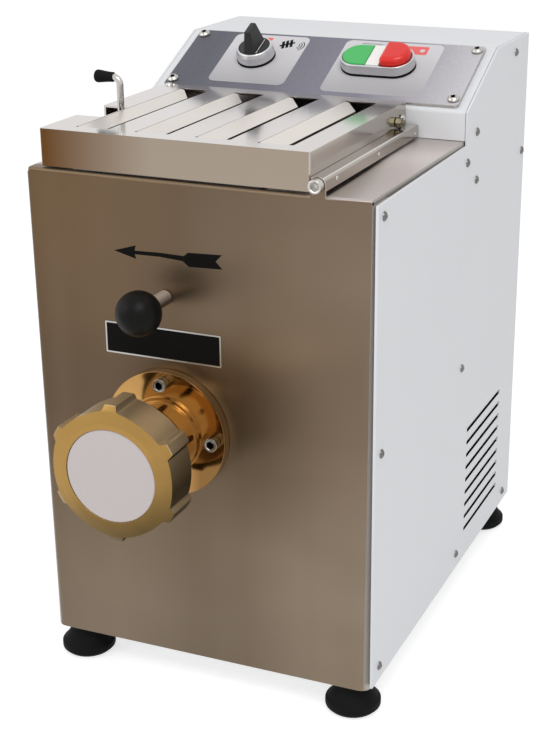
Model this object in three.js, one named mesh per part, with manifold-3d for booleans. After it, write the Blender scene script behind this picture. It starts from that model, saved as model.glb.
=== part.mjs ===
// Electric pasta maker: a table-top machine that mixes dough in a tub and presses it out through a barrel.
// Sizes are millimetres. X is the machine's width, +Y points to its back, +Z points up.
// Every solid is built in the case's own frame, whose front face is y = 0 and whose feet stand on z = 0.
import * as THREE from 'three';
import { mergeVertices } from 'three/addons/utils/BufferGeometryUtils.js';
import Module from 'manifold-3d';

const wasm = await Module();
wasm.setup();

// Clearances that hold everywhere
const seat = 0.3;            // between two pieces that are fastened together
const play = 0.4;            // between a piece that slides and its guide
const overrun = 2;           // how far a cutting body reaches past the face that it cuts

// Case
const caseWidth = 260;
const caseDepth = 354;
const footHeight = 24.5;
const deckHeight = 357;      // deck above the case's lower edge
const slopeFootRise = 22;    // where the control slope begins, above the deck
const towerRise = 57.5;      // tower's top above the deck
const towerDepth = 164;
const towerTopDepth = 88;
const panelSheet = 2;        // painted steel
const steelSheet = 1.5;      // stainless steel
const panelSetback = 5;      // side panel's front edge behind the front face
const panelDrop = 3;         // side panel's upper edge under the deck
const panelLift = 3;         // side panel's lower edge above the front's
const cornerBend = 7;        // inner radius of the front's upright bends
const deckBend = 1.5;
const coverBend = 1.5;
const frontReturn = 26;      // how far the front's bent sides reach back
const deckInset = 7.5;       // deck's edge inside the side panel's outer face
const deckFlange = 14;

// Vent slots in the side panels
const ventCount = 9;
const ventPitch = 11;
const ventLength = 96;
const ventWidth = 3.2;
const ventRear = 42;         // last point of a slot from the back of the case
const ventFirstHeight = 29;  // lowest slot above the case's lower edge

// The plane that holds the nozzle, the tub, the paddle and the knob
const axisX = -22.5;
const barrelHeight = 178.3;  // above the case's lower edge

// Tub
const tubShare = 0.254;      // tub's inner radius, as a share of the case's width
const tubWall = 2;
const tubFront = 10;
const tubRearGap = 8;        // between the tub and the tower's wall
const rimWidth = 3;
const rimSheet = 2;
const throatHalf = 14;
const throatFront = 58;
const throatRear = 84;
const throatWall = 2;
const throatDrop = 6;        // tub's floor above the shutter

// Shutter between the tub and the barrel
const shutterSheet = 1.5;
const shutterLap = 2;        // how far the shutter covers past the throat
const leverGap = 3;          // between the tub's rim and the lever
const leverY = 85.5;
const leverRadius = 2.5;
const leverBend = 5;
const gripRise = 22;         // grip's axis above the lid
const gripLength = 14;
const gripSmall = 3.4;
const gripLarge = 4.6;
const gripEnd = 3;           // closed end of the grip past the rod
const armWidth = 14;
const slotPlay = 1.6;

// Barrel
const barrelRadius = 26;
const barrelBore = 19;
const barrelFlat = 21.5;     // flat top above the barrel's axis
const flangeRadius = 45.9;
const flangeSheet = 8;
const bossRadius = 28;       // low step round the neck on the flange's face
const bossSheet = 2.5;
const neckRadius = 25.5;
const headRadius = 38;
const headFront = 75.3;        // mouth in front of the case
const headLength = 32;
const headCone = 6;
const mouthRadius = 30;
const mouthDepth = 18;
const backingSheet = 6;
const flangeScrewCount = 4;
const flangeScrewCircle = 38;
const capHeadRadius = 5;
const capHeadHeight = 6.5;
const capSocket = 2.6;
const capSocketDepth = 3.2;
const capShank = 3;

// Ring nut and plug
const nutLength = 30;
const nutFront = 85.3;
const nutRadius = 45;
const nutWaist = 43.6;       // the shallow hollows between the ribs
const nutRibRadius = 49;
const nutRibs = 6;
const nutRibShare = 0.17;    // share of the pitch that a rib takes
const nutRibTurn = Math.PI / 6;
const nutFlankShare = 1.3;   // where a rib's flank meets the hollow, in half ribs
const nutHollowSteps = 4;
const nutChamfer = 4;
const nutFaceRadius = 37;
const nutOpening = 32.9;
const nutLip = 6;
const threadPlay = 0.5;
const plugRadius = 32.4;
const plugFlange = 37;
const plugFlangeSheet = 3.2;
const plugSetback = 1.2;

// Auger
const augerCore = 9;
const augerRadius = 18.3;
const augerPitch = 40;
const augerSetback = 20;     // auger's tip behind the barrel's mouth
const augerRearGap = 12;     // flight's end in front of the gearbox plate
const augerSlices = 54;
const augerSides = 10;
const augerFlightShare = 0.2;
const augerJournal = 9;

// Gear train
const augerTeeth = 44;
const paddleTeeth = 34;
const pinionTeeth = 12;
const gearWidth = 10;
const gearBackset = 12;      // gears behind the front plate's face
const toothTipShare = 0.26;
const toothRootShare = 0.62;
const addendumShare = 0.85;
const dedendumShare = 1.15;
const pinionAngle = -35 * Math.PI / 180;
const gearHoles = 4;
const gearHoleShare = 0.17;
const gearHoleCircleShare = 0.62;

// Gearbox plates
const frontPlateGap = 4;     // behind the tower's wall face
const frontPlateSheet = 8;
const frontPlateInset = 18;  // plate's edge inside the side panel's outer face
const frontPlateDrop = 11;   // plate's top under the deck
const plateSpacing = 28;     // from one plate's face to the other's
const rearPlateSheet = 6;
const rearPlateInsetLeft = 28;
const rearPlateInsetRight = 8;
const rearPlateLow = 93;
const rearPlateDrop = 20;    // under the deck
const spacerRadius = 6;
const spacerInset = 12;
const bushWall = 5;
const bushFlange = 3;
const bushFlangeSheet = 1.4;

// Paddle
const paddleHub = 9;
const paddleShaft = 7;
const paddleEndGap = 5;      // between the hub and the tub's end walls
const paddlePegs = 6;
const pegRadius = 4;
const pegTip = 3;
const pegGap = 6;            // between a peg's tip and the tub
const pegInset = 16;
const pegTurn = Math.PI / 3;

// Pulling pin with its ball knob
const pinRadius = 3;
const pinReach = 34;         // how far the pin reaches behind the front face
const pinBore = 3.5;
const ballRadius = 15.5;
const ballCentre = 38;
const ballSink = 19;         // pin's end behind the ball's front
const pinBushRadius = 8;

// Lid
const lidOverhang = 17.25;   // lid's left side beyond the lever
const lidCover = 34.25;      // lid's right side beyond the tub's rim
const lidHeight = 25.8;
const lidLift = 1.2;         // lid's lower edge above the deck
const lidFront = 3;
const lidRearGap = 2;
const lidBend = 1.5;
const louvres = 4;
const louvrePitchShare = 0.2271; // of the lid's width
const louvreInsetShare = 0.108; // first fold from the lid's left side
const louvreWindow = 24.3;
const louvreFlapGap = 8.1;   // between a tongue's edge and its window
const louvreAngle = 9.2 * Math.PI / 180;
const louvreFront = 17.5;
const louvreRearGap = 17;    // windows end this far in front of the tower's wall
const louvreFlapRearGap = 19;
const louvreChamfer = 13;    // a tongue's cut rear corner, across and along
const louvreChamferLength = 20;
const louvreSink = 0.2;      // a folded tongue's face starts this far under the lid's
const notchPlay = 0.8;       // round the grip, which the notch passes when the lid opens
const notchDepth = 20.5;
const notchCorner = 4;

// Lid hinge
const hingeReach = 6.4;      // hinge axis beyond the lid's right side
const hingeRise = 7.1;       // hinge axis above the deck
const stripSheet = 1.5;
const stripReach = 10.2;     // strip's outer face beyond the lid's right side
const stripLow = 2;
const stripHigh = 11;
const stripFront = 3;
const stripRearGap = 3;
const earHalf = 5.2;
const hingeBoltRadius = 1.9;
const hingePlay = 0.25;
const hingeHeadRadius = 4.7;
const hingeHeadHeight = 6;
const hingeHeadSocket = 2;
const hingeHeadDepth = 3;
const skirtScrewGap = 14;    // domed screw in the lid's right skirt, in front of the tower's wall
const skirtNutGap = 24;
const skirtRise = 15.5;      // both above the deck
const skirtScrewRadius = 2;
const skirtHeadRadius = 3.8;
const skirtHeadHeight = 3.4;
const skirtNutRadius = 4.3;
const skirtNutHeight = 4.5;

// Control slope: places are measured along the slope from its foot
const plateInset = 9;        // plate's edge inside the side panel's outer face
const plateLow = 3;
const plateHigh = 81;
const plateSheet = 2;
const plateCorner = 3;
const plateScrewInset = 5.5;
const plateScrewLow = 11;
const plateScrewHigh = 74.5;
const buttonHeadRadius = 4.6;
const buttonHeadHeight = 2.7;
const buttonHeadSocket = 1.5;
const buttonHeadDepth = 1.6;
const buttonShank = 2;
const buttonShankLength = 7;
const headShoulderShare = 0.93; // a domed head narrows half-way up, then at its top
const headTopShare = 0.6;
const operatorHole = 11.3;
const operatorBarrel = 10.8;
const operatorDepth = 15;
const gasketSheet = 1.2;

// Selector
const selectorShare = 0.4793; // left of the middle, as a share of the plate's half width
const selectorS = 47;
const bezelRadius = 15;
const bezelTop = 13.2;
const bezelHeight = 9;
const bezelRecess = 2.6;
const knobDisc = 12;
const knobStem = 4;
const bladeBase = 10.5;
const bladeTop = 7;
const bladeHeight = 17;
const bladeBaseHalf = 5;
const bladeTopHalf = 2.3;

// Double push button
const buttonsShare = 0.3719; // right of the middle
const buttonsS = 46;
const buttonsHalf = 29.5;
const buttonsRadius = 15;
const buttonsHeight = 8;
const buttonsRim = 1.8;
const buttonsFloor = 1.6;
const buttonTravel = 3.5;
const lensHalf = 5.2;
const startProud = 0.7;
const stopProud = 6.5;
const buttonBody = 2.6;

// Electrical parts behind the panels
const contactHalf = 15;
const contactLength = 40;
const contactDepth = 40;
const motorRadius = 44;
const motorLength = 108;
const motorBellLength = 18;
const motorBellRadius = 40;
const motorHubRadius = 16;
const motorHubLength = 6;
const motorShaftRadius = 5;
const motorBoreDepth = 40;
const capacitorRadius = 18;
const capacitorLength = 84;
const capacitorInset = 48;   // its axis inside the side panel's outer face
const capacitorGap = 24;     // behind the rear plate's face
const glandRadius = 11;
const glandHexRadius = 13;
const glandReach = 20;
const glandHexLength = 6;
const glandInside = 9;
const glandBore = 4;
const glandInset = 50;       // its axis inside the side panel's outer face
const glandTaperShare = 0.9;
const glandTipShare = 0.7;
const glandHeight = 52;
const switchSize = 16;
const switchDepth = 12;
const switchInset = 23;      // left of the hinge axis

// Feet
const footInset = 20.3;      // its axis inside the side panel's outer face
const footFront = 17;
const footRear = 15;         // rear foot's centre from the back of the case
const footRadius = 20.3;
const footSole = 17.5;
const footNeck = 12;
const footRimLow = 3;
const footRimHigh = 8;
const footFlare = 18;

// Facets of the round pieces
const smooth = 30;
const medium = 14;
const coarse = 8;
const bendSteps = 3;
const cornerSteps = 6;       // the front's wide upright bends
const roundSteps = 2;        // small rounded corners
const slotSteps = 1;         // a vent slot's ends
const capSteps = 4;          // the push button's round ends
const weldDistance = 1e-4;

// Places worked out from the sizes above
const zCase = footHeight;
const zDeck = zCase + deckHeight;
const zSlope = zDeck + slopeFootRise;
const zTop = zDeck + towerRise;
const zBarrel = zCase + barrelHeight;
const tubRadius = caseWidth * tubShare;
const zShutterTop = zBarrel + barrelFlat + seat + shutterSheet;
const zThroat = zShutterTop + seat;
const shaftDistance = zThroat + throatDrop + tubWall + tubRadius - zBarrel;
const zPaddle = zBarrel + shaftDistance;
const gearModule = 2 * shaftDistance / (augerTeeth + paddleTeeth);
const zLid = zDeck + lidLift + lidHeight;
const wallY = caseDepth - towerDepth;
const slopeTopY = caseDepth - towerTopDepth;
const slope = Math.atan2(zTop - zSlope, slopeTopY - wallY);
const halfInside = caseWidth / 2 - panelSheet;
const deckHalf = caseWidth / 2 - deckInset;
const frontHalf = halfInside - seat;
const zHinge = zDeck + hingeRise;
const tubRear = wallY - tubRearGap;
const frontPlateY = wallY + frontPlateGap;
const rearPlateY = frontPlateY + plateSpacing;
const gearY = frontPlateY + gearBackset;
const frontPlateHalf = caseWidth / 2 - frontPlateInset;
const rearPlateLeft = rearPlateInsetLeft - frontPlateHalf;
const rearPlateRight = frontPlateHalf - rearPlateInsetRight;
const augerFront = headFront - augerSetback;
const augerLength = augerFront + frontPlateY - augerRearGap;
const paddleFront = tubFront + paddleEndGap;
const paddleRear = tubRear - paddleEndGap;
const pegReach = tubRadius - pegGap;
const centreDistance = gearModule * (augerTeeth + pinionTeeth) / 2;
const motorX = axisX + centreDistance * Math.cos(pinionAngle);
const motorZ = zBarrel + centreDistance * Math.sin(pinionAngle);
const rimHalf = tubRadius + tubWall + rimWidth;
const shutterStroke = throatRear - throatFront + shutterLap;
const leverX = axisX - rimHalf - leverGap - leverRadius;
const lidLeft = leverX - lidOverhang;
const lidRight = axisX + rimHalf + lidCover;
const hingeX = lidRight + hingeReach;
const stripRight = lidRight + stripReach;
const stripRear = wallY - stripRearGap;
const plateHalf = caseWidth / 2 - plateInset;
const plateScrewX = plateHalf - plateScrewInset;
const selectorX = -plateHalf * selectorShare;
const buttonsX = plateHalf * buttonsShare;
const footX = caseWidth / 2 - footInset;
const notchRear = leverY + gripLarge + notchPlay;
const notchFront = leverY - shutterStroke - gripLarge - notchPlay;

// Materials
const paint = (color, roughness, metalness = 0) =>
  new THREE.MeshStandardMaterial({ color, roughness, metalness });
const whitePaint = () => paint(0xe9eaea, 0.45);
const brushedSteel = () => paint(0x9a9084, 0.35, 1);
const brightSteel = () => paint(0xc9c6c0, 0.25, 1);
const bronze = () => paint(0xc58a45, 0.22, 1);
const brass = () => paint(0xb79a5c, 0.38, 1);
const blackPlastic = () => paint(0x1a1a1a, 0.5);
const blackRubber = () => paint(0x202020, 0.8);
const whitePlastic = () => paint(0xdcd8d8, 0.5);
const castAluminium = () => paint(0x8f9194, 0.5, 1);
const gearSteel = () => paint(0x6f7276, 0.4, 1);

// Turns a closed three.js geometry into a solid whose faces point out
function solid(geometry) {
  const bare = new THREE.BufferGeometry();
  bare.setAttribute('position', geometry.getAttribute('position').clone());
  if (geometry.index) bare.setIndex(geometry.index.clone());
  const merged = mergeVertices(bare, weldDistance);
  const position = merged.getAttribute('position');
  const corners = [];
  let volume = 0;
  const [a, b, c] = [new THREE.Vector3(), new THREE.Vector3(), new THREE.Vector3()];
  for (let i = 0; i < merged.index.count; i += 3) {
    const [ia, ib, ic] = [0, 1, 2].map((k) => merged.index.getX(i + k));
    if (ia === ib || ib === ic || ic === ia) continue;
    corners.push(ia, ib, ic);
    a.fromBufferAttribute(position, ia);
    b.fromBufferAttribute(position, ib);
    c.fromBufferAttribute(position, ic);
    volume += a.dot(b.cross(c));
  }
  if (volume < 0) corners.reverse();
  return new wasm.Manifold(new wasm.Mesh({
    numProp: 3,
    vertProperties: new Float32Array(position.array),
    triVerts: new Uint32Array(corners),
  }));
}

const cut = (body, ...tools) => tools.reduce((left, tool) => left.subtract(tool), body);
const join = (...bodies) => bodies.reduce((sum, body) => sum.add(body));

// A named mesh of one solid
function piece(name, body, material) {
  const mesh = body.getMesh();
  const geometry = new THREE.BufferGeometry();
  geometry.setAttribute('position', new THREE.BufferAttribute(new Float32Array(mesh.vertProperties), 3));
  geometry.setIndex(new THREE.BufferAttribute(new Uint32Array(mesh.triVerts), 1));
  const object = new THREE.Mesh(geometry, material);
  object.name = name;
  return object;
}

const moved = (geometry, x, y, z) => geometry.translate(x, y, z);
const block = (x0, x1, y0, y1, z0, z1) => solid(moved(
  new THREE.BoxGeometry(x1 - x0, y1 - y0, z1 - z0), (x0 + x1) / 2, (y0 + y1) / 2, (z0 + z1) / 2));

// Round bars along each axis
function rodY(radius, y0, y1, x = 0, z = 0, sides = medium, farRadius = radius) {
  const geometry = new THREE.CylinderGeometry(farRadius, radius, y1 - y0, sides);
  return solid(moved(geometry, x, (y0 + y1) / 2, z));
}
function rodZ(radius, z0, z1, x = 0, y = 0, sides = medium, farRadius = radius) {
  const geometry = new THREE.CylinderGeometry(farRadius, radius, z1 - z0, sides).rotateX(Math.PI / 2);
  return solid(moved(geometry, x, y, (z0 + z1) / 2));
}
function rodX(radius, x0, x1, y = 0, z = 0, sides = medium, farRadius = radius) {
  const geometry = new THREE.CylinderGeometry(farRadius, radius, x1 - x0, sides).rotateZ(-Math.PI / 2);
  return solid(moved(geometry, (x0 + x1) / 2, y, z));
}

// A turned body round the Y axis, from [radius, y] pairs that close on themselves or on the axis
function turnedY(profile, sides, x = 0, z = 0) {
  const points = profile.map(([r, y]) => new THREE.Vector2(r, y));
  if (profile[0][0] > 0) points.push(points[0].clone());
  return solid(moved(new THREE.LatheGeometry(points, sides), x, 0, z));
}
function turnedZ(profile, sides, x = 0, y = 0) {
  const points = profile.map(([r, z]) => new THREE.Vector2(r, z));
  if (profile[0][0] > 0) points.push(points[0].clone());
  return solid(moved(new THREE.LatheGeometry(points, sides).rotateX(Math.PI / 2), x, y, 0));
}

// Prisms: an outline in two axes, drawn along the third
const shapeOf = (points) => new THREE.Shape(points.map(([u, v]) => new THREE.Vector2(u, v)));
const extruded = (shape, depth, curveSegments = medium) =>
  new THREE.ExtrudeGeometry(shape, { depth, bevelEnabled: false, curveSegments });
const turnXtoY = new THREE.Matrix4().makeBasis(
  new THREE.Vector3(0, 1, 0), new THREE.Vector3(0, 0, 1), new THREE.Vector3(1, 0, 0));
const turnZtoY = new THREE.Matrix4().makeBasis(
  new THREE.Vector3(1, 0, 0), new THREE.Vector3(0, 0, 1), new THREE.Vector3(0, -1, 0));
const prismX = (shape, x0, x1, steps) =>
  solid(extruded(shape, x1 - x0, steps).applyMatrix4(turnXtoY).translate(x0, 0, 0));
const prismY = (shape, y0, y1, steps) =>
  solid(extruded(shape, y1 - y0, steps).applyMatrix4(turnZtoY).translate(0, y1, 0));
const prismZ = (shape, z0, z1, steps) =>
  solid(extruded(shape, z1 - z0, steps).translate(0, 0, z0));

function roundedRect(u0, u1, v0, v1, radius) {
  const shape = new THREE.Shape();
  shape.absarc(u1 - radius, v0 + radius, radius, -Math.PI / 2, 0);
  shape.absarc(u1 - radius, v1 - radius, radius, 0, Math.PI / 2);
  shape.absarc(u0 + radius, v1 - radius, radius, Math.PI / 2, Math.PI);
  shape.absarc(u0 + radius, v0 + radius, radius, Math.PI, Math.PI * 3 / 2);
  return shape;
}

// The section of a bent sheet: its face follows the line of points, its thickness lies to their left
function bentSheet(line, sheet, bend, steps = bendSteps) {
  const points = line.map(([u, v]) => new THREE.Vector2(u, v));
  const heading = points.slice(1).map((p, i) => p.clone().sub(points[i]).normalize());
  const left = heading.map((d) => new THREE.Vector2(-d.y, d.x));
  const face = [points[0]];
  const back = [points[0].clone().addScaledVector(left[0], sheet)];
  for (let i = 1; i < points.length - 1; i++) {
    const [n0, n1] = [left[i - 1], left[i]];
    const turn = Math.atan2(n0.x * n1.y - n0.y * n1.x, n0.dot(n1));
    const side = Math.sign(turn);
    const faceRadius = side * sheet > 0 ? bend + Math.abs(sheet) : bend;
    const middle = n0.clone().add(n1).multiplyScalar(side * faceRadius / (1 + n0.dot(n1))).add(points[i]);
    for (let k = 0; k <= steps; k++) {
      const normal = n0.clone().rotateAround(new THREE.Vector2(), turn * k / steps);
      const onFace = middle.clone().addScaledVector(normal, -side * faceRadius);
      face.push(onFace);
      back.push(onFace.clone().addScaledVector(normal, sheet));
    }
  }
  const [last, lastLeft] = [points[points.length - 1], left[left.length - 1]];
  face.push(last);
  back.push(last.clone().addScaledVector(lastLeft, sheet));
  return new THREE.Shape([...face, ...back.reverse()]);
}

// The frame of the control slope: x across, y up the slope, z out of it
const slopeFrame = new THREE.Matrix4().makeRotationX(slope).setPosition(0, wallY, zSlope);
const onSlope = (body) => body.transform(slopeFrame.elements);
const plateScrews = [-plateScrewX, plateScrewX].flatMap((x) =>
  [plateScrewLow, plateScrewHigh].map((s) => [x, s]));
const operators = [[selectorX, selectorS], [buttonsX, buttonsS]];

function controlHoles(low, high) {
  const holes = [
    ...operators.map(([x, s]) => rodZ(operatorHole, low, high, x, s, medium)),
    ...plateScrews.map(([x, s]) => rodZ(buttonShank + seat, low, high, x, s, coarse)),
  ];
  return join(...holes);
}

// Front and deck, bent from stainless sheet
function frontCover() {
  const line = [[-frontHalf, frontReturn], [-frontHalf, 0], [frontHalf, 0], [frontHalf, frontReturn]];
  const plan = bentSheet(line, steelSheet, cornerBend, cornerSteps);
  const front = prismZ(plan, zCase, zDeck - deckBend - steelSheet);
  const side = bentSheet([[0, zDeck - deckFlange], [0, zDeck], [wallY - seat, zDeck]], -steelSheet, deckBend);
  const outerBend = cornerBend + steelSheet;
  const corners = roundedRect(-frontHalf, frontHalf, 0, wallY + outerBend, outerBend);
  const deck = prismX(side, -deckHalf, deckHalf)
    .intersect(prismZ(corners, zDeck - deckFlange - overrun, zDeck + overrun, bendSteps));
  const flanges = [-1, 1].map((s) => {
    const [inner, outer] = [s * (deckHalf - steelSheet), s * deckHalf].sort((p, q) => p - q);
    return block(inner, outer, panelSetback, wallY - seat, zDeck - deckFlange, zDeck - steelSheet / 2);
  });
  const backing = rodY(flangeRadius, steelSheet / 2, steelSheet + backingSheet, axisX, zBarrel, smooth);
  const ear = join(
    block(hingeX - earHalf, hingeX + earHalf, 0, steelSheet, zDeck - deckFlange, zHinge),
    rodY(earHalf, 0, steelSheet, hingeX, zHinge, medium));
  const opening = tubRadius + tubWall + seat;
  const [deckLow, deckHigh] = [zDeck - deckFlange, zDeck + overrun];
  const holes = [
    block(axisX - opening, axisX + opening, tubFront - seat, tubRear + seat, deckLow, deckHigh),
    block(leverX - leverRadius - slotPlay, leverX + leverRadius + slotPlay,
      leverY - shutterStroke - leverRadius - slotPlay, leverY + leverRadius + slotPlay, deckLow, deckHigh),
    rodY(barrelRadius + seat, -overrun, backingSheet + steelSheet + overrun, axisX, zBarrel, smooth),
    rodY(pinBore, -overrun, steelSheet + overrun, axisX, zPaddle, medium),
    rodY(hingeBoltRadius + hingePlay, -overrun, steelSheet + overrun, hingeX, zHinge, coarse),
    ...flangeScrewPlaces().map(([x, z]) =>
      rodY(capShank + seat, -overrun, backingSheet + steelSheet + overrun, x, z, coarse)),
  ];
  return piece('front_cover', cut(join(front, deck, ...flanges, backing, ear), ...holes), brushedSteel());
}

function flangeScrewPlaces() {
  return Array.from({ length: flangeScrewCount }, (_, i) => {
    const angle = i * 2 * Math.PI / flangeScrewCount;
    return [axisX + flangeScrewCircle * Math.cos(angle), zBarrel + flangeScrewCircle * Math.sin(angle)];
  });
}

// White side panel with the tower's outline and vent slots
function sidePanel(name, x0) {
  const zLow = zCase + panelLift;
  const zShoulder = zDeck - panelDrop;
  const outline = shapeOf([[panelSetback, zLow], [caseDepth, zLow], [caseDepth, zTop], [slopeTopY, zTop],
    [wallY, zSlope], [wallY, zShoulder], [panelSetback, zShoulder]]);
  const slots = Array.from({ length: ventCount }, (_, i) => {
    const z = zCase + ventFirstHeight + i * ventPitch;
    const rear = caseDepth - ventRear;
    const slot = roundedRect(rear - ventLength, rear, z - ventWidth / 2, z + ventWidth / 2, ventWidth / 2);
    return prismX(slot, x0 - overrun, x0 + panelSheet + overrun, slotSteps);
  });
  return piece(name, cut(prismX(outline, x0, x0 + panelSheet), ...slots), whitePaint());
}

// Tower cover: wall, control slope and top in one bent sheet between the side panels
function towerCover() {
  const line = [[wallY, zDeck + seat], [wallY, zSlope], [slopeTopY, zTop], [caseDepth, zTop]];
  const half = halfInside - seat;
  const sheet = prismX(bentSheet(line, -panelSheet, coverBend), -half, half);
  const pinHole = rodY(hingeBoltRadius + hingePlay, wallY - overrun, wallY + panelSheet + overrun,
    hingeX, zHinge, coarse);
  const slopeHoles = onSlope(controlHoles(-panelSheet - overrun, overrun));
  return piece('tower_cover', cut(sheet, slopeHoles, pinHole), whitePaint());
}

function rearPanel() {
  const half = halfInside - seat;
  const sheet = block(-half, half, caseDepth - panelSheet, caseDepth, zCase, zTop - panelSheet - seat);
  const hole = rodY(glandRadius + seat, caseDepth - panelSheet - overrun, caseDepth + overrun,
    glandInset - caseWidth / 2, zCase + glandHeight, medium);
  return piece('rear_panel', cut(sheet, hole), whitePaint());
}

// Base tray with upturned sides
function basePlate() {
  const half = halfInside - seat;
  const zFlange = zCase + deckFlange;
  const section = bentSheet([[-half, zFlange], [-half, zCase], [half, zCase], [half, zFlange]],
    panelSheet, coverBend);
  const inner = frontHalf - steelSheet - seat;
  const noseRear = frontReturn + overrun + cornerBend;
  const nose = roundedRect(-inner, inner, steelSheet + seat, noseRear, cornerBend);
  const outline = join(
    prismZ(nose, zCase - overrun, zFlange + overrun, bendSteps),
    block(-half - overrun, half + overrun, frontReturn + seat, caseDepth,
      zCase - overrun, zFlange + overrun));
  const tray = prismY(section, steelSheet + seat, caseDepth - panelSheet - seat);
  return piece('base_plate', tray.intersect(outline), whitePaint());
}

function feet() {
  const profile = [[0, 0], [footSole, 0], [footRadius, footRimLow], [footRadius, footRimHigh],
    [footNeck, footFlare], [footNeck, footHeight - seat], [0, footHeight - seat]];
  const places = [['front_left', -footX, footFront], ['front_right', footX, footFront],
    ['rear_left', -footX, caseDepth - footRear], ['rear_right', footX, caseDepth - footRear]];
  return places.map(([place, x, y]) => {
    const foot = piece(`foot_${place}`, turnedZ(profile, medium), blackRubber());
    foot.position.set(x, y, 0);
    return foot;
  });
}

// Tub: a U-shaped trough with a rim that rests on the deck and a throat down to the barrel
function tub() {
  const trough = (radius, top) => {
    const shape = new THREE.Shape();
    shape.moveTo(axisX - radius, top);
    shape.lineTo(axisX - radius, zPaddle);
    shape.absarc(axisX, zPaddle, radius, Math.PI, 2 * Math.PI);
    shape.lineTo(axisX + radius, top);
    return shape;
  };
  const rimTop = zDeck + seat + rimSheet;
  const outer = prismY(trough(tubRadius + tubWall, rimTop), tubFront, tubRear);
  const rim = prismZ(roundedRect(axisX - rimHalf, axisX + rimHalf, lidFront + steelSheet + play,
    wallY - lidRearGap - steelSheet - play, rimWidth / 2), zDeck + seat, rimTop, roundSteps);
  const collar = block(axisX - throatHalf - throatWall, axisX + throatHalf + throatWall,
    throatFront - throatWall, throatRear + throatWall, zThroat, zPaddle - tubRadius + tubWall);
  const inner = prismY(trough(tubRadius, rimTop + overrun), tubFront + tubWall, tubRear - tubWall);
  const holes = [
    inner,
    block(axisX - throatHalf, axisX + throatHalf, throatFront, throatRear, zThroat - overrun, zPaddle),
    rodY(pinBushRadius + seat, tubFront - overrun, tubFront + tubWall + overrun, axisX, zPaddle, medium),
    rodY(paddleShaft + play, tubRear - tubWall - overrun, tubRear + overrun, axisX, zPaddle, medium),
  ];
  return piece('tub', cut(join(outer, rim, collar), ...holes), brightSteel());
}

// Barrel: bronze body with its bolted flange, neck, threaded head and wider mouth
function barrel() {
  const headRear = -headFront + headLength;
  const profile = [
    [barrelBore, frontPlateY - seat], [barrelRadius, frontPlateY - seat], [barrelRadius, -seat],
    [flangeRadius, -seat], [flangeRadius, -flangeSheet], [bossRadius, -flangeSheet],
    [bossRadius, -flangeSheet - bossSheet], [neckRadius, -flangeSheet - bossSheet],
    [neckRadius, headRear + headCone], [headRadius, headRear], [headRadius, -headFront],
    [mouthRadius, -headFront], [barrelBore, -headFront + mouthDepth],
  ];
  const body = turnedY(profile, smooth, axisX, zBarrel);
  const flat = block(axisX - barrelRadius, axisX + barrelRadius, steelSheet + backingSheet + seat,
    frontPlateY, zBarrel + barrelFlat, zBarrel + barrelRadius + overrun);
  const throat = block(axisX - throatHalf, axisX + throatHalf, throatFront, throatRear,
    zBarrel, zBarrel + barrelRadius + overrun);
  const holes = flangeScrewPlaces().map(([x, z]) =>
    rodY(capShank + seat, -flangeSheet - overrun, 0, x, z, coarse));
  return piece('barrel', cut(body, flat, throat, ...holes), bronze());
}

function flangeScrews() {
  const tip = steelSheet + backingSheet;
  const headLow = -flangeSheet - seat;
  const headTop = headLow - capHeadHeight;
  const profile = [[0, tip], [capShank, tip], [capShank, headLow],
    [capHeadRadius, headLow], [capHeadRadius, headTop], [0, headTop]];
  const socket = rodY(capSocket, headTop - overrun, headTop + capSocketDepth, 0, 0, 6);
  return flangeScrewPlaces().map(([x, z], i) => {
    const screw = piece(`flange_screw_${i + 1}`, cut(turnedY(profile, coarse), socket), brightSteel());
    screw.position.set(x, 0, z);
    return screw;
  });
}

// Ring nut: ribs and shallow hollows round a bored body, with a turned front face
function ringNut() {
  const pitch = 2 * Math.PI / nutRibs;
  const outline = [];
  for (let i = 0; i < nutRibs; i++) {
    const middle = nutRibTurn + i * pitch;
    const halfRib = nutRibShare * pitch / 2;
    outline.push([middle - halfRib, nutRibRadius], [middle + halfRib, nutRibRadius]);
    const flank = nutFlankShare * halfRib;
    for (let k = 0; k <= nutHollowSteps; k++) {
      const along = k / nutHollowSteps;
      const dip = (nutRadius - nutWaist) * Math.sin(Math.PI * along);
      outline.push([middle + flank + (pitch - 2 * flank) * along, nutRadius - dip]);
    }
  }
  const around = ([angle, r]) => [axisX + r * Math.cos(angle), zBarrel + r * Math.sin(angle)];
  const [front, rear] = [-nutFront, -nutFront + nutLength];
  const ribbed = prismY(shapeOf(outline.map(around)), front, rear);
  const envelope = turnedY([[0, rear], [nutRibRadius, rear], [nutRibRadius, front + nutChamfer],
    [nutFaceRadius, front], [0, front]], smooth, axisX, zBarrel);
  const bore = rodY(headRadius + threadPlay, front + nutLip, rear + overrun, axisX, zBarrel, smooth);
  const opening = rodY(nutOpening, front - overrun, front + nutLip + overrun, axisX, zBarrel, smooth);
  return piece('ring_nut', cut(ribbed.intersect(envelope), bore, opening), brass());
}

function diePlug() {
  const rear = -headFront - seat;
  const front = -nutFront + plugSetback;
  const profile = [[0, rear], [plugFlange, rear], [plugFlange, rear - plugFlangeSheet],
    [plugRadius, rear - plugFlangeSheet], [plugRadius, front], [0, front]];
  return piece('die_plug', turnedY(profile, smooth, axisX, zBarrel), whitePlastic());
}

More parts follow.
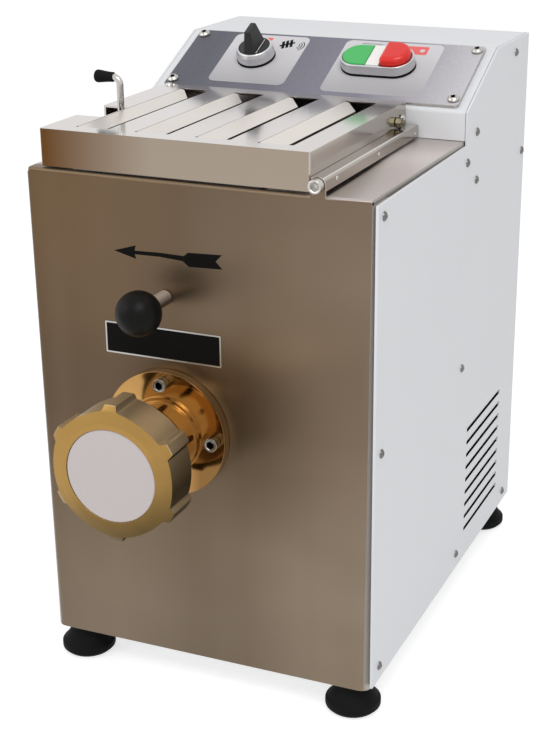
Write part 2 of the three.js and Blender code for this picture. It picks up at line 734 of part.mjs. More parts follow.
// Auger: one flight winds round a core, as a section that turns while it moves along
function auger() {
  const rings = [];
  for (let i = 0; i <= augerSlices; i++) {
    const y = -augerFront + augerLength * i / augerSlices;
    const wind = 2 * Math.PI * (y / augerPitch);
    for (let k = 0; k < augerSides; k++) {
      const angle = 2 * Math.PI * k / augerSides;
      const lobe = Math.min(k, augerSides - k) / augerSides;
      const r = lobe <= augerFlightShare / 2 ? augerRadius : augerCore;
      rings.push(r * Math.cos(angle + wind), y, r * Math.sin(angle + wind));
    }
  }
  const geometry = new THREE.BufferGeometry();
  const count = rings.length / 3;
  rings.push(0, -augerFront, 0, 0, -augerFront + augerLength, 0);
  geometry.setAttribute('position', new THREE.BufferAttribute(new Float32Array(rings), 3));
  const faces = [];
  for (let i = 0; i < augerSlices; i++) {
    for (let k = 0; k < augerSides; k++) {
      const next = (k + 1) % augerSides;
      const [a, b] = [i * augerSides + k, i * augerSides + next];
      faces.push(a, b, a + augerSides, b, b + augerSides, a + augerSides);
    }
  }
  for (let k = 0; k < augerSides; k++) {
    const next = (k + 1) % augerSides;
    faces.push(count, next, k, count + 1, augerSlices * augerSides + k, augerSlices * augerSides + next);
  }
  geometry.setIndex(faces);
  const flight = solid(geometry);
  const shaft = rodY(augerJournal, augerLength - augerFront - overrun, rearPlateY + rearPlateSheet,
    0, 0, medium);
  const screw = piece('auger', join(flight, shaft), brightSteel());
  screw.position.set(axisX, 0, zBarrel);
  return screw;
}

// A spur gear's toothed disc, and the same with a shaft hole and round lightening holes
function gearBody(teeth, phase) {
  const pitchRadius = gearModule * teeth / 2;
  const tip = pitchRadius + gearModule * addendumShare;
  const root = pitchRadius - gearModule * dedendumShare;
  const step = 2 * Math.PI / teeth;
  const outline = [];
  for (let i = 0; i < teeth; i++) {
    const middle = phase + i * step;
    const corners = [[-toothRootShare, root], [-toothTipShare, tip],
      [toothTipShare, tip], [toothRootShare, root]];
    for (const [share, r] of corners) {
      const angle = middle + share * step / 2;
      outline.push([r * Math.cos(angle), r * Math.sin(angle)]);
    }
  }
  return prismY(shapeOf(outline), 0, gearWidth);
}

function gear(name, teeth, bore, phase, material) {
  const pitchRadius = gearModule * teeth / 2;
  const reach = pitchRadius * gearHoleCircleShare;
  const holes = Array.from({ length: gearHoles }, (_, i) => {
    const angle = i * 2 * Math.PI / gearHoles;
    return rodY(pitchRadius * gearHoleShare, -overrun, gearWidth + overrun,
      reach * Math.cos(angle), reach * Math.sin(angle), coarse);
  });
  const shaftHole = rodY(bore, -overrun, gearWidth + overrun, 0, 0, medium);
  return piece(name, cut(gearBody(teeth, phase), ...holes, shaftHole), material);
}

function gears() {
  const up = Math.PI / 2;
  const augerStep = 2 * Math.PI / augerTeeth;
  const augerGear = gear('auger_gear', augerTeeth, augerJournal + seat, up, gearSteel());
  augerGear.position.set(axisX, gearY, zBarrel);
  const paddlePhase = Math.PI / paddleTeeth - up;
  const paddleGear = gear('paddle_gear', paddleTeeth, paddleShaft + seat, paddlePhase, gearSteel());
  paddleGear.position.set(axisX, gearY, zPaddle);
  const offset = (pinionAngle - up) / augerStep;
  const gap = 1 / 2 + offset - Math.floor(offset);
  const mesh = pinionAngle + Math.PI + gap * 2 * Math.PI / pinionTeeth;
  const shaftEnd = rearPlateY + rearPlateSheet + seat - motorHubLength + motorBoreDepth - play;
  const shaft = rodY(motorShaftRadius, frontPlateY + frontPlateSheet + seat, shaftEnd, 0, 0, medium);
  const teeth = gearBody(pinionTeeth, mesh).translate([0, gearY, 0]);
  const pinion = piece('motor_pinion', join(teeth, shaft), gearSteel());
  pinion.position.set(motorX, 0, motorZ);
  return [augerGear, paddleGear, pinion];
}

// Two plates carry the shafts; the rear one is cast with four pillars that stand on the front one
function gearboxPlates() {
  const zFoot = zCase + panelSheet + seat;
  const front = block(-frontPlateHalf, frontPlateHalf, frontPlateY, frontPlateY + frontPlateSheet,
    zFoot, zDeck - frontPlateDrop);
  const frontHole = (radius, z) => rodY(radius + bushWall + seat, frontPlateY - overrun,
    frontPlateY + frontPlateSheet + overrun, axisX, z, medium);
  const rear = block(rearPlateLeft, rearPlateRight, rearPlateY, rearPlateY + rearPlateSheet,
    zCase + rearPlateLow, zDeck - rearPlateDrop);
  const rearHole = (radius, x, z, sides) => rodY(radius + play, rearPlateY - overrun,
    rearPlateY + rearPlateSheet + overrun, x, z, sides);
  const rearHoles = [rearHole(augerJournal, axisX, zBarrel, medium),
    rearHole(paddleShaft, axisX, zPaddle, medium), rearHole(motorHubRadius, motorX, motorZ, smooth)];
  const places = [rearPlateLeft + spacerInset, rearPlateRight - spacerInset].flatMap((x) =>
    [zCase + rearPlateLow + spacerInset, zDeck - rearPlateDrop - spacerInset].map((z) => [x, z]));
  const pillars = places.map(([x, z]) =>
    rodY(spacerRadius, frontPlateY + frontPlateSheet + seat, rearPlateY + rearPlateSheet / 2, x, z, coarse));
  return [
    piece('gearbox_front_plate',
      cut(front, frontHole(augerJournal, zBarrel), frontHole(paddleShaft, zPaddle)), castAluminium()),
    piece('gearbox_rear_plate', join(cut(rear, ...rearHoles), ...pillars), castAluminium()),
  ];
}

// A flanged bush, its flange to the front of the plate that holds it
function bush(name, bore, outer, y0, y1, x, z, material) {
  const profile = [[bore, y1], [outer, y1], [outer, y0], [outer + bushFlange, y0],
    [outer + bushFlange, y0 - bushFlangeSheet], [bore, y0 - bushFlangeSheet]];
  const body = piece(name, turnedY(profile, medium), material);
  body.position.set(x, 0, z);
  return body;
}

function bushes() {
  const plateRear = frontPlateY + frontPlateSheet;
  const augerBushProfile = [[augerJournal + play, plateRear], [augerJournal + bushWall, plateRear],
    [augerJournal + bushWall, frontPlateY + seat - bushFlangeSheet],
    [augerJournal + play, frontPlateY + seat - bushFlangeSheet]];
  const augerBush = piece('auger_bush', turnedY(augerBushProfile, medium), bronze());
  augerBush.position.set(axisX, 0, zBarrel);
  return [
    augerBush,
    bush('paddle_bush', paddleShaft + play, paddleShaft + bushWall, frontPlateY - seat, plateRear,
      axisX, zPaddle, bronze()),
    bush('pin_bush', pinBore, pinBushRadius, tubFront - seat, tubFront + tubWall,
      axisX, zPaddle, brightSteel()),
  ];
}

// Paddle: a hub with pegs at turning angles and a plain shaft to the gear
function paddle() {
  const hub = rodY(paddleHub, paddleFront, paddleRear, 0, 0, medium);
  const shaft = rodY(paddleShaft, paddleRear - overrun, rearPlateY + rearPlateSheet, 0, 0, medium);
  const spacing = (paddleRear - paddleFront - 2 * pegInset) / (paddlePegs - 1);
  const pegs = Array.from({ length: paddlePegs }, (_, i) => {
    const geometry = new THREE.CylinderGeometry(pegTip, pegRadius, pegReach, coarse);
    geometry.translate(0, pegReach / 2, 0).rotateX(Math.PI / 2).rotateY(Math.PI / 2 + i * pegTurn);
    return solid(moved(geometry, 0, paddleFront + pegInset + i * spacing, 0));
  });
  const bore = rodY(pinBore, paddleFront - overrun, pinReach + overrun, 0, 0, coarse);
  const body = piece('paddle', cut(join(hub, shaft, ...pegs), bore), brightSteel());
  body.position.set(axisX, 0, zPaddle);
  return body;
}

function pullPin() {
  const rodFront = ballSink - ballCentre - ballRadius;
  const rod = piece('pin_rod', rodY(pinRadius, rodFront, pinReach, axisX, zPaddle, coarse), brightSteel());
  const geometry = new THREE.SphereGeometry(ballRadius, medium, coarse).rotateX(Math.PI / 2);
  const bore = rodY(pinRadius + seat, rodFront - seat, 0, 0, 0, coarse);
  const ball = cut(solid(moved(geometry, 0, -ballCentre, 0)), bore);
  const knob = piece('ball_knob', ball, blackPlastic());
  knob.position.set(axisX, 0, zPaddle);
  return [rod, knob];
}

// Shutter: a plate with an arm, and a rod that rises from the arm through the deck and bends to the grip
function shutter() {
  const zLow = zBarrel + barrelFlat + seat;
  const half = throatHalf + throatWall + shutterLap;
  const plate = join(
    block(axisX - half, axisX + half, throatFront - shutterLap, throatRear + shutterLap, zLow, zShutterTop),
    block(leverX - armWidth / 2, axisX - throatHalf - shutterLap,
      leverY - armWidth / 2, leverY + armWidth / 2, zLow, zShutterTop));
  const zGrip = zLid + gripRise;
  const foot = new THREE.Vector3(leverX, leverY, zShutterTop + seat);
  const knee = new THREE.Vector3(leverX, leverY, zGrip - leverBend);
  const bendEnd = new THREE.Vector3(leverX - leverBend, leverY, zGrip);
  const gripX = leverX - leverBend;
  const tip = new THREE.Vector3(gripX - gripLength + gripEnd, leverY, zGrip);
  const turn = new THREE.QuadraticBezierCurve3(knee, new THREE.Vector3(leverX, leverY, zGrip), bendEnd);
  const stations = [foot, ...turn.getPoints(bendSteps + bendSteps), tip];
  const rod = sweptRod(stations, leverRadius, coarse);
  const collar = rodX(leverRadius + seat, tip.x - seat, 0, leverY, zGrip, coarse);
  const flare = rodX(gripLarge, gripX - gripLength, gripX, leverY, zGrip, medium, gripSmall);
  return [
    piece('shutter_plate', plate, brightSteel()),
    piece('lever_rod', rod, brightSteel()),
    piece('lever_grip', cut(flare, collar), blackRubber()),
  ];
}

// A round bar through the stations of a bend that lies in the plane of X and Z
function sweptRod(stations, radius, sides) {
  const rings = [];
  stations.forEach((point, i) => {
    const before = stations[Math.max(i - 1, 0)];
    const after = stations[Math.min(i + 1, stations.length - 1)];
    const along = after.clone().sub(before).normalize();
    const across = new THREE.Vector3(0, 1, 0);
    const third = along.clone().cross(across);
    for (let k = 0; k < sides; k++) {
      const angle = 2 * Math.PI * k / sides;
      const corner = point.clone().addScaledVector(across, radius * Math.cos(angle))
        .addScaledVector(third, radius * Math.sin(angle));
      rings.push(corner.x, corner.y, corner.z);
    }
  });
  const count = rings.length / 3;
  const [first, last] = [stations[0], stations[stations.length - 1]];
  rings.push(first.x, first.y, first.z, last.x, last.y, last.z);
  const faces = [];
  for (let i = 0; i < stations.length - 1; i++) {
    for (let k = 0; k < sides; k++) {
      const [a, b] = [i * sides + k, i * sides + (k + 1) % sides];
      faces.push(a, b, a + sides, b, b + sides, a + sides);
    }
  }
  const end = (stations.length - 1) * sides;
  for (let k = 0; k < sides; k++) {
    const next = (k + 1) % sides;
    faces.push(count, next, k, count + 1, end + k, end + next);
  }
  const geometry = new THREE.BufferGeometry();
  geometry.setAttribute('position', new THREE.BufferAttribute(new Float32Array(rings), 3));
  geometry.setIndex(faces);
  return solid(geometry);
}

// Lid: a shallow box with four tongues that are folded down a little, and a notch for the lever
function lid() {
  const [x0, x1] = [lidLeft, lidRight];
  const lidWidth = x1 - x0;
  const louvreRear = wallY - louvreRearGap;
  const louvreFlap = louvreWindow - louvreFlapGap;
  const louvreFlapRear = wallY - louvreFlapRearGap;
  const [y0, y1] = [lidFront, wallY - lidRearGap];
  const [z0, z1] = [zDeck + lidLift, zLid];
  const skin = cut(
    prismZ(roundedRect(x0, x1, y0, y1, lidBend), z0, z1, roundSteps),
    block(x0 + steelSheet, x1 - steelSheet, y0 + steelSheet, y1 - steelSheet, z0 - overrun, z1 - steelSheet));
  const windows = [];
  const flaps = [];
  for (let i = 0; i < louvres; i++) {
    const fold = x0 + lidWidth * (louvreInsetShare + i * louvrePitchShare);
    windows.push(prismZ(roundedRect(fold, fold + louvreWindow, louvreFront, louvreRear, lidBend),
      z1 - steelSheet - overrun, z1 + overrun, roundSteps));
    const tongue = new THREE.Shape();
    tongue.moveTo(-seat, louvreFront + seat);
    tongue.lineTo(louvreFlap, louvreFront + seat);
    tongue.lineTo(louvreFlap, louvreFlapRear - louvreChamferLength);
    tongue.lineTo(louvreFlap - louvreChamfer, louvreFlapRear);
    tongue.lineTo(-seat, louvreFlapRear);
    const flap = extruded(tongue, steelSheet).translate(0, 0, -steelSheet);
    flaps.push(solid(flap.rotateY(louvreAngle).translate(fold, 0, z1 - louvreSink)));
  }
  const notch = prismZ(roundedRect(x0 - notchDepth, x0 + notchDepth, notchFront, notchRear, notchCorner),
    z0 - overrun, z1 + overrun, bendSteps);
  const fastenerHoles = [skirtScrewGap, skirtNutGap].map((gap) => rodX(skirtScrewRadius + seat,
    x1 - steelSheet - overrun, x1 + overrun, wallY - gap, zDeck + skirtRise, coarse));
  return piece('lid', cut(join(cut(skin, ...windows), ...flaps), notch, ...fastenerHoles), brushedSteel());
}

// Hinge strip along the lid's right side, with a lug at each end
function hingeStrip() {
  const left = lidRight + seat;
  const line = [[left, zDeck + stripHigh], [stripRight, zDeck + stripHigh], [stripRight, zDeck + stripLow]];
  const section = bentSheet(line, -stripSheet, stripSheet / 2);
  const strip = prismY(section, stripFront, stripRear);
  const lug = (y) => block(left + stripSheet, stripRight - stripSheet / 2, y, y + stripSheet,
    zDeck + stripLow, zDeck + stripHigh - stripSheet / 2);
  const body = join(strip, lug(stripFront), lug(stripRear - stripSheet));
  const bore = rodY(hingeBoltRadius + hingePlay, stripFront - overrun, stripRear + overrun,
    hingeX, zHinge, coarse);
  return piece('hinge_strip', cut(body, bore), brightSteel());
}

function hingeBolts() {
  const tip = stripFront + stripSheet + overrun;
  const headTop = -seat - hingeHeadHeight;
  const profile = [[0, tip], [hingeBoltRadius, tip], [hingeBoltRadius, -seat],
    [hingeHeadRadius, -seat], [hingeHeadRadius, headTop], [0, headTop]];
  const socket = rodY(hingeHeadSocket, headTop - overrun, headTop + hingeHeadDepth, 0, 0, 6);
  const bolt = piece('hinge_bolt_front', cut(turnedY(profile, coarse), socket), brightSteel());
  bolt.position.set(hingeX, 0, zHinge);
  const pin = piece('hinge_pin_rear', rodY(hingeBoltRadius, stripRear - stripSheet - overrun,
    wallY + panelSheet + overrun, hingeX, zHinge, coarse), brightSteel());
  return [bolt, pin];
}

// Domed screw and nut that stand out of the lid's right skirt, above the strip
function skirtFasteners() {
  const face = lidRight + seat;
  const z = zDeck + skirtRise;
  const [skirtScrewY, skirtNutY] = [wallY - skirtScrewGap, wallY - skirtNutGap];
  const inside = face - 2 * steelSheet - seat;
  const shoulder = face + skirtHeadHeight / 2;
  const head = rodX(skirtHeadRadius, face, shoulder, skirtScrewY, z, coarse);
  const dome = rodX(skirtHeadRadius, shoulder, face + skirtHeadHeight, skirtScrewY, z, coarse,
    skirtScrewRadius);
  const screwShank = rodX(skirtScrewRadius, inside, face + seat, skirtScrewY, z, coarse);
  const hex = rodX(skirtNutRadius, face, face + skirtNutHeight, skirtNutY, z, 6);
  const stud = rodX(skirtScrewRadius, inside, face + skirtNutHeight + skirtScrewRadius, skirtNutY, z, coarse);
  return [
    piece('skirt_screw', join(head, dome, screwShank), brightSteel()),
    piece('skirt_nut', join(hex, stud), gearSteel()),
  ];
}

function controlPlate() {
  const shape = roundedRect(-plateHalf, plateHalf, plateLow, plateHigh, plateCorner);
  const plate = prismZ(shape, seat, seat + plateSheet, bendSteps);
  return piece('control_plate', cut(plate, controlHoles(-overrun, plateSheet + overrun)), castAluminium());
}

function plateScrewPieces() {
  const low = 2 * seat + plateSheet;
  const profile = [[0, low - buttonShankLength], [buttonShank, low - buttonShankLength], [buttonShank, low],
    [buttonHeadRadius, low], [buttonHeadRadius * headShoulderShare, low + buttonHeadHeight / 2],
    [buttonHeadRadius * headTopShare, low + buttonHeadHeight], [0, low + buttonHeadHeight]];
  const socket = rodZ(buttonHeadSocket, low + buttonHeadHeight - buttonHeadDepth,
    low + buttonHeadHeight + overrun, 0, 0, 6);
  return plateScrews.map(([x, s], i) => {
    const screw = piece(`plate_screw_${i + 1}`, cut(turnedZ(profile, coarse), socket), brightSteel());
    screw.position.set(x, s, 0);
    return screw;
  });
}

// Selector: gasket, bezel with its threaded barrel, and a turning knob with a tapered blade
function selector() {
  const plateTop = 2 * seat + plateSheet;
  const bezelLow = plateTop + gasketSheet + seat;
  const bezelHigh = bezelLow + bezelHeight;
  const bore = knobStem + play;
  const gasket = piece('selector_gasket', cut(
    rodZ(bezelRadius + seat, plateTop, plateTop + gasketSheet, 0, 0, medium),
    rodZ(operatorBarrel + seat, 0, bezelHigh, 0, 0, medium)), blackRubber());
  const profile = [[bore, -operatorDepth], [operatorBarrel, -operatorDepth], [operatorBarrel, bezelLow],
    [bezelRadius, bezelLow], [bezelRadius, bezelLow + bezelHeight / 2], [bezelTop, bezelHigh],
    [knobDisc + play, bezelHigh], [knobDisc + play, bezelHigh - bezelRecess],
    [bore, bezelHigh - bezelRecess]];
  const bezel = piece('selector_bezel', turnedZ(profile, smooth), brightSteel());
  const discLow = bezelHigh - bezelRecess + play;
  const blade = new THREE.BoxGeometry(1, 1, 1);
  const corner = blade.getAttribute('position');
  for (let i = 0; i < corner.count; i++) {
    const top = corner.getZ(i) > 0;
    corner.setX(i, 2 * corner.getX(i) * (top ? bladeTopHalf : bladeBaseHalf));
    corner.setY(i, 2 * corner.getY(i) * (top ? bladeTop : bladeBase));
    corner.setZ(i, top ? bezelHigh + bladeHeight : bezelHigh - bezelRecess / 2);
  }
  const knob = piece('selector_knob', join(
    rodZ(knobDisc, discLow, bezelHigh, 0, 0, smooth),
    rodZ(knobStem, -operatorDepth, discLow + overrun / 2, 0, 0, coarse),
    solid(blade)), blackPlastic());
  const contact = contactBlock('selector_contact_block');
  const group = new THREE.Group();
  group.add(gasket, bezel, knob, contact);
  group.position.set(selectorX, selectorS, 0);
  return group;
}

function contactBlock(name) {
  const high = -panelSheet - seat;
  const body = cut(
    block(-contactHalf, contactHalf, -contactLength / 2, contactLength / 2, high - contactDepth, high),
    rodZ(operatorBarrel + seat, -operatorDepth - seat, 0, 0, 0, medium));
  return piece(name, body, blackPlastic());
}

const stadium = (half, radius) => roundedRect(-half, half, -radius, radius, radius);

// Double push button: flat start button, raised stop button and a pilot lens between them
function pushButtons() {
  const plateTop = 2 * seat + plateSheet;
  const low = plateTop + gasketSheet + seat;
  const high = low + buttonsHeight;
  const pocketHalf = buttonsHalf - buttonsRim;
  const pocketRadius = buttonsRadius - buttonsRim;
  const gasket = piece('button_gasket', cut(
    prismZ(stadium(buttonsHalf, buttonsRadius), plateTop, plateTop + gasketSheet, capSteps),
    rodZ(operatorBarrel + seat, 0, high, 0, 0, medium)), blackRubber());
  const bezel = piece('button_bezel', cut(
    join(prismZ(stadium(buttonsHalf, buttonsRadius), low, high, capSteps),
      rodZ(operatorBarrel, -operatorDepth, low + buttonsFloor, 0, 0, medium)),
    prismZ(stadium(pocketHalf, pocketRadius), low + buttonsFloor, high + overrun, capSteps)), brightSteel());
  const restLow = low + buttonsFloor + play + buttonTravel;
  const inner = (z0, z1, shrink) =>
    prismZ(stadium(pocketHalf - shrink, pocketRadius - shrink), z0, z1, capSteps);
  const reach = buttonsHalf + overrun;
  const leftOf = (x) => block(-reach, x, -reach, reach, -reach, reach);
  const rightOf = (x) => block(x, reach, -reach, reach, -reach, reach);
  const start = inner(restLow, high + startProud, play).intersect(leftOf(-lensHalf - play));
  const stopLow = inner(restLow, high + stopProud / 2, play).intersect(rightOf(lensHalf + play));
  const stopTop = inner(high, high + stopProud, buttonBody).intersect(rightOf(lensHalf + buttonBody));
  const lens = inner(low + buttonsFloor + seat, high + startProud / 2, seat)
    .intersect(leftOf(lensHalf)).intersect(rightOf(-lensHalf));
  const group = new THREE.Group();
  group.add(
    gasket, bezel,
    piece('start_button', start, paint(0x35b35a, 0.35)),
    piece('stop_button', join(stopLow, stopTop), paint(0xd8352b, 0.3)),
    piece('pilot_lens', lens, whitePlastic()),
    contactBlock('button_contact_block'));
  group.position.set(buttonsX, buttonsS, 0);
  return group;
}

// Motor, capacitor, cord gland and the lid's switch
function electrics() {
  const y0 = rearPlateY + rearPlateSheet + seat;
  const y1 = y0 + motorLength;
  const bore = motorShaftRadius + play;
  const hubFront = y0 - motorHubLength;
  const shell = turnedY([[0, hubFront], [motorHubRadius, hubFront], [motorHubRadius, y0],
    [motorBellRadius, y0], [motorRadius, y0 + motorBellLength], [motorRadius, y1 - motorBellLength],
    [motorBellRadius, y1], [0, y1]], smooth);
  const shaftHole = rodY(bore, hubFront - overrun, hubFront + motorBoreDepth, 0, 0, medium);
  const motor = piece('motor_body', cut(shell, shaftHole), castAluminium());
  motor.position.set(motorX, 0, motorZ);
  const capacitorY = rearPlateY + capacitorGap;
  const capacitor = piece('motor_capacitor', rodY(capacitorRadius, capacitorY, capacitorY + capacitorLength,
    capacitorInset - caseWidth / 2, zCase + panelSheet + seat + capacitorRadius, medium), blackPlastic());
  const glandFront = caseDepth - panelSheet - glandInside;
  const glandProfile = [[glandBore, glandFront], [glandRadius, glandFront],
    [glandRadius, caseDepth + glandHexLength],
    [glandRadius * glandTaperShare, caseDepth + glandReach - overrun],
    [glandRadius * glandTipShare, caseDepth + glandReach], [glandBore, caseDepth + glandReach]];
  const hex = cut(rodY(glandHexRadius, caseDepth + seat, caseDepth + seat + glandHexLength, 0, 0, 6),
    rodY(glandBore, caseDepth - overrun, caseDepth + glandReach, 0, 0, medium));
  const gland = piece('cable_gland', join(turnedY(glandProfile, medium), hex), blackPlastic());
  gland.position.set(glandInset - caseWidth / 2, 0, zCase + glandHeight);
  const switchY = wallY + panelSheet + seat;
  const switchX = hingeX - switchInset;
  const lidSwitch = piece('lid_switch', block(switchX, switchX + switchSize, switchY, switchY + switchDepth,
    zDeck + seat, zDeck + seat + switchSize), blackPlastic());
  return [motor, capacitor, gland, lidSwitch];
}

// The machine, with the control slope as a turned group
const machine = new THREE.Group();
const controls = new THREE.Group();
controls.position.set(0, wallY, zSlope);
controls.rotation.x = slope;
controls.add(controlPlate(), ...plateScrewPieces(), selector(), pushButtons());
machine.add(
  basePlate(), frontCover(),
  sidePanel('left_side_panel', -caseWidth / 2), sidePanel('right_side_panel', halfInside),
  towerCover(), rearPanel(), ...feet(),
  tub(), barrel(), ...flangeScrews(), ringNut(), diePlug(),
  auger(), ...gears(), ...gearboxPlates(), ...bushes(), paddle(), ...pullPin(), ...shutter(),
  lid(), hingeStrip(), ...hingeBolts(), ...skirtFasteners(), controls, ...electrics());

// The origin is the middle of the footprint
const part = new THREE.Group();
machine.position.set(0, -(caseDepth + glandReach - nutFront) / 2, 0);
part.add(machine);
part.updateMatrixWorld(true);

export default part;
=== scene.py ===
# %% [markdown]
# # A table-top electric pasta maker
#
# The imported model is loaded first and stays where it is. Every piece below is made round it, in metres, with
# +X to the right, +Y to the back and +Z up. Lengths are written in millimetres and turned into metres by the
# helpers, because a kitchen machine is drawn in millimetres.

# %% Load the frame
import math

import bpy
from mathutils import Matrix, Vector


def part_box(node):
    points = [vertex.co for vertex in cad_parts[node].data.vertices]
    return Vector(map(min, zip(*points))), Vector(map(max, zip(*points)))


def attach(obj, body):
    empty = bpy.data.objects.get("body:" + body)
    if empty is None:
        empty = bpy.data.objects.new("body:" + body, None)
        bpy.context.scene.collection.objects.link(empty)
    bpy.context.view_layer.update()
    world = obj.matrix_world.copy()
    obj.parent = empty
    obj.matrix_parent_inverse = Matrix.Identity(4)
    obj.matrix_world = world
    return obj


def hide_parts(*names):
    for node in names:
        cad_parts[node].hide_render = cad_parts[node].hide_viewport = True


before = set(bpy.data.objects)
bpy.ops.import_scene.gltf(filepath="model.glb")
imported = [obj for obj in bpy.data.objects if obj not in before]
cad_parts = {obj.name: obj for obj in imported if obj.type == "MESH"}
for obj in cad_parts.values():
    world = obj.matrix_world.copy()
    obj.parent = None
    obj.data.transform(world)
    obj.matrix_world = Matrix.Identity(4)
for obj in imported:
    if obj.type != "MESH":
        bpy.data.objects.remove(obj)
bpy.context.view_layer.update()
MM = 0.001
CASE_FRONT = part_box("front_cover")[0].y / MM
print("nodes", len(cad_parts), "front face at", round(CASE_FRONT, 2))


def mm(x, y, z):
    """A point given in millimetres."""
    return Vector((x, y, z)) * MM


def place(x, y, z):
    """A point given in millimetres, y counted from the front sheet's face, z from the floor."""
    return mm(x, CASE_FRONT + y, z)


def added(name, data):
    """A new object in the scene with the data given."""
    obj = bpy.data.objects.new(name, data)
    bpy.context.scene.collection.objects.link(obj)
    return obj


# %% [markdown]
# ## Camera
#
# The viewer stands to the right of the machine and looks down on it, so its verticals lean together a little.
# The lens is long, as in a catalogue picture. The small shift only moves the picture in its frame.

# %% Camera
YAW, TILT = math.radians(22.19), math.radians(20.57)
CAMERA_PLACE = (446.61, -870.91, 619.70)
FOCAL_PIXELS = 1521.22
IMAGE_MIDDLE = (278.5, 368.5)
OPTICAL_CENTRE = (320.87, 365.92)
IMAGE_HEIGHT = 737
SENSOR_MM = 36
FARTHEST_M = 20

forward = Vector((-math.sin(YAW) * math.cos(TILT), math.cos(YAW) * math.cos(TILT), -math.sin(TILT)))
right = Vector((math.cos(YAW), math.sin(YAW), 0))
top = right.cross(forward)
view = Matrix((right, top, -forward)).transposed().to_4x4()
lens = bpy.data.cameras.new("product_camera")
camera = added("product_camera", lens)
camera.matrix_world = Matrix.Translation(place(*CAMERA_PLACE)) @ view
lens.sensor_width = SENSOR_MM
lens.lens = SENSOR_MM * FOCAL_PIXELS / IMAGE_HEIGHT
lens.shift_x = (IMAGE_MIDDLE[0] - OPTICAL_CENTRE[0]) / IMAGE_HEIGHT
lens.shift_y = (OPTICAL_CENTRE[1] - IMAGE_MIDDLE[1]) / IMAGE_HEIGHT
lens.clip_end = FARTHEST_M
bpy.context.scene.camera = camera
print("lens", round(lens.lens, 1), "mm")

# %% [markdown]
# ## Shader maths
#
# A finish is worked out from a few masks. The small class below lets a mask be written as an ordinary sum, such
# as `1 - grain * 0.2`; each operation adds one Math node. A sum such as `(bands * 3 - 1).clamp()` turns soft
# bands into clear ones. Other nodes come from one method of `Nodes`.


# %% Signals and finishes
class Signal:
    """One socket of a material or of the world, with arithmetic that adds Math nodes."""

    def __init__(self, nodes, socket):
        self.nodes = nodes
        self.socket = socket

    def maths(self, operation, *values):
        return self.nodes.node("ShaderNodeMath", {"operation": operation}, *values)

    def __add__(self, other):
        return self.maths("ADD", self, other)

    __radd__ = __add__

    def __mul__(self, other):
        return self.maths("MULTIPLY", self, other)

    __rmul__ = __mul__

    def __sub__(self, other):
        return self.maths("SUBTRACT", self, other)

    def __rsub__(self, other):
        return self.maths("SUBTRACT", other, self)

    def clamp(self):
        return self.maths("MINIMUM", self.maths("MAXIMUM", self, 0.0), 1.0)

    def rise(self, start, end):
        """A ramp from 0 at the start to 1 at the end."""
        return ((self - start) * (1 / (end - start))).clamp()


def tone(red, green, blue):
    """A colour as it shows on a screen, 0 to 255, turned by the sRGB curve into what the renderer wants."""
    shares = [value / 255 for value in (red, green, blue)]
    return tuple(s / 12.92 if s <= 0.04045 else ((s + 0.055) / 1.055) ** 2.4 for s in shares) + (1.0,)


# The factor, the two colours and the result of a Mix node that is set to colours
MIX_INPUTS, MIX_RESULT = (0, 6, 7), 2


class Nodes:
    """The nodes of a material or of the world; `shader` is the one that they lead to."""

    def __init__(self, owner, shader_name):
        owner.use_nodes = True
        self.tree = owner.node_tree
        self.shader = self.tree.nodes[shader_name]

    def feed(self, socket, value):
        """Links a signal to the socket, or gives the socket its own value."""
        if isinstance(value, Signal):
            self.tree.links.new(value.socket, socket)
        else:
            socket.default_value = value

    def set(self, name, value):
        self.feed(self.shader.inputs[name], value)

    def node(self, kind, settings=None, *values, out=0, **named):
        made = self.tree.nodes.new(kind)
        for key, value in (settings or {}).items():
            setattr(made, key, value)
        for key, value in list(enumerate(values)) + list(named.items()):
            self.feed(made.inputs[key], value)
        return Signal(self, made.outputs[out])

    def seen_by_viewer(self):
        """1 for rays that the viewer sees, straight or in metal and glass, and 0 for the light on the machine."""
        camera_ray, *others = (self.node("ShaderNodeLightPath", out=f"Is {ray} Ray")
                               for ray in ("Camera", "Glossy", "Transmission"))
        for other in others:
            camera_ray = camera_ray.maths("MAXIMUM", camera_ray, other)
        return camera_ray


class Finish(Nodes):
    """A material whose surface is one Principled shader."""

    def __init__(self, name, metallic=0.0, roughness=0.5):
        self.material = bpy.data.materials.new(name)
        super().__init__(self.material, "Principled BSDF")
        self.set("Metallic", metallic)
        self.set("Roughness", roughness)

    def along(self, axis, source="Object"):
        """One part of the object's own place in metres, or of its own surface direction."""
        return self.node("ShaderNodeSeparateXYZ", Vector=self.node("ShaderNodeTexCoord", out=source), out=axis)

    def between(self, axis, start, end):
        """A ramp along one axis of the machine, from 0 at the start to 1 at the end, in millimetres."""
        return self.along(axis).rise(start * MM, end * MM)

    def facing(self, axis, start, end):
        """A ramp over the way the surface faces along one axis."""
        return self.along(axis, "Normal").rise(start, end)

    def noise(self, scale, stretch=(1, 1, 1), detail=2.0, roughness=0.5):
        spot = self.node("ShaderNodeMapping", Vector=self.node("ShaderNodeTexCoord", out="Object"), Scale=stretch)
        return self.node("ShaderNodeTexNoise", Vector=spot, Scale=scale, Detail=detail, Roughness=roughness)

    def blend(self, factor, first, second):
        """A mix of two colours; a plain triple is a colour as it shows on a screen."""
        made = self.tree.nodes.new("ShaderNodeMix")
        made.data_type = "RGBA"
        for number, value in zip(MIX_INPUTS, (factor, first, second)):
            is_triple = isinstance(value, tuple) and len(value) == 3
            self.feed(made.inputs[number], tone(*value) if is_triple else value)
        return Signal(self, made.outputs[MIX_RESULT])

    def bump(self, height, strength, distance):
        self.set("Normal", self.node("ShaderNodeBump", Height=height, Strength=strength, Distance=distance * MM))


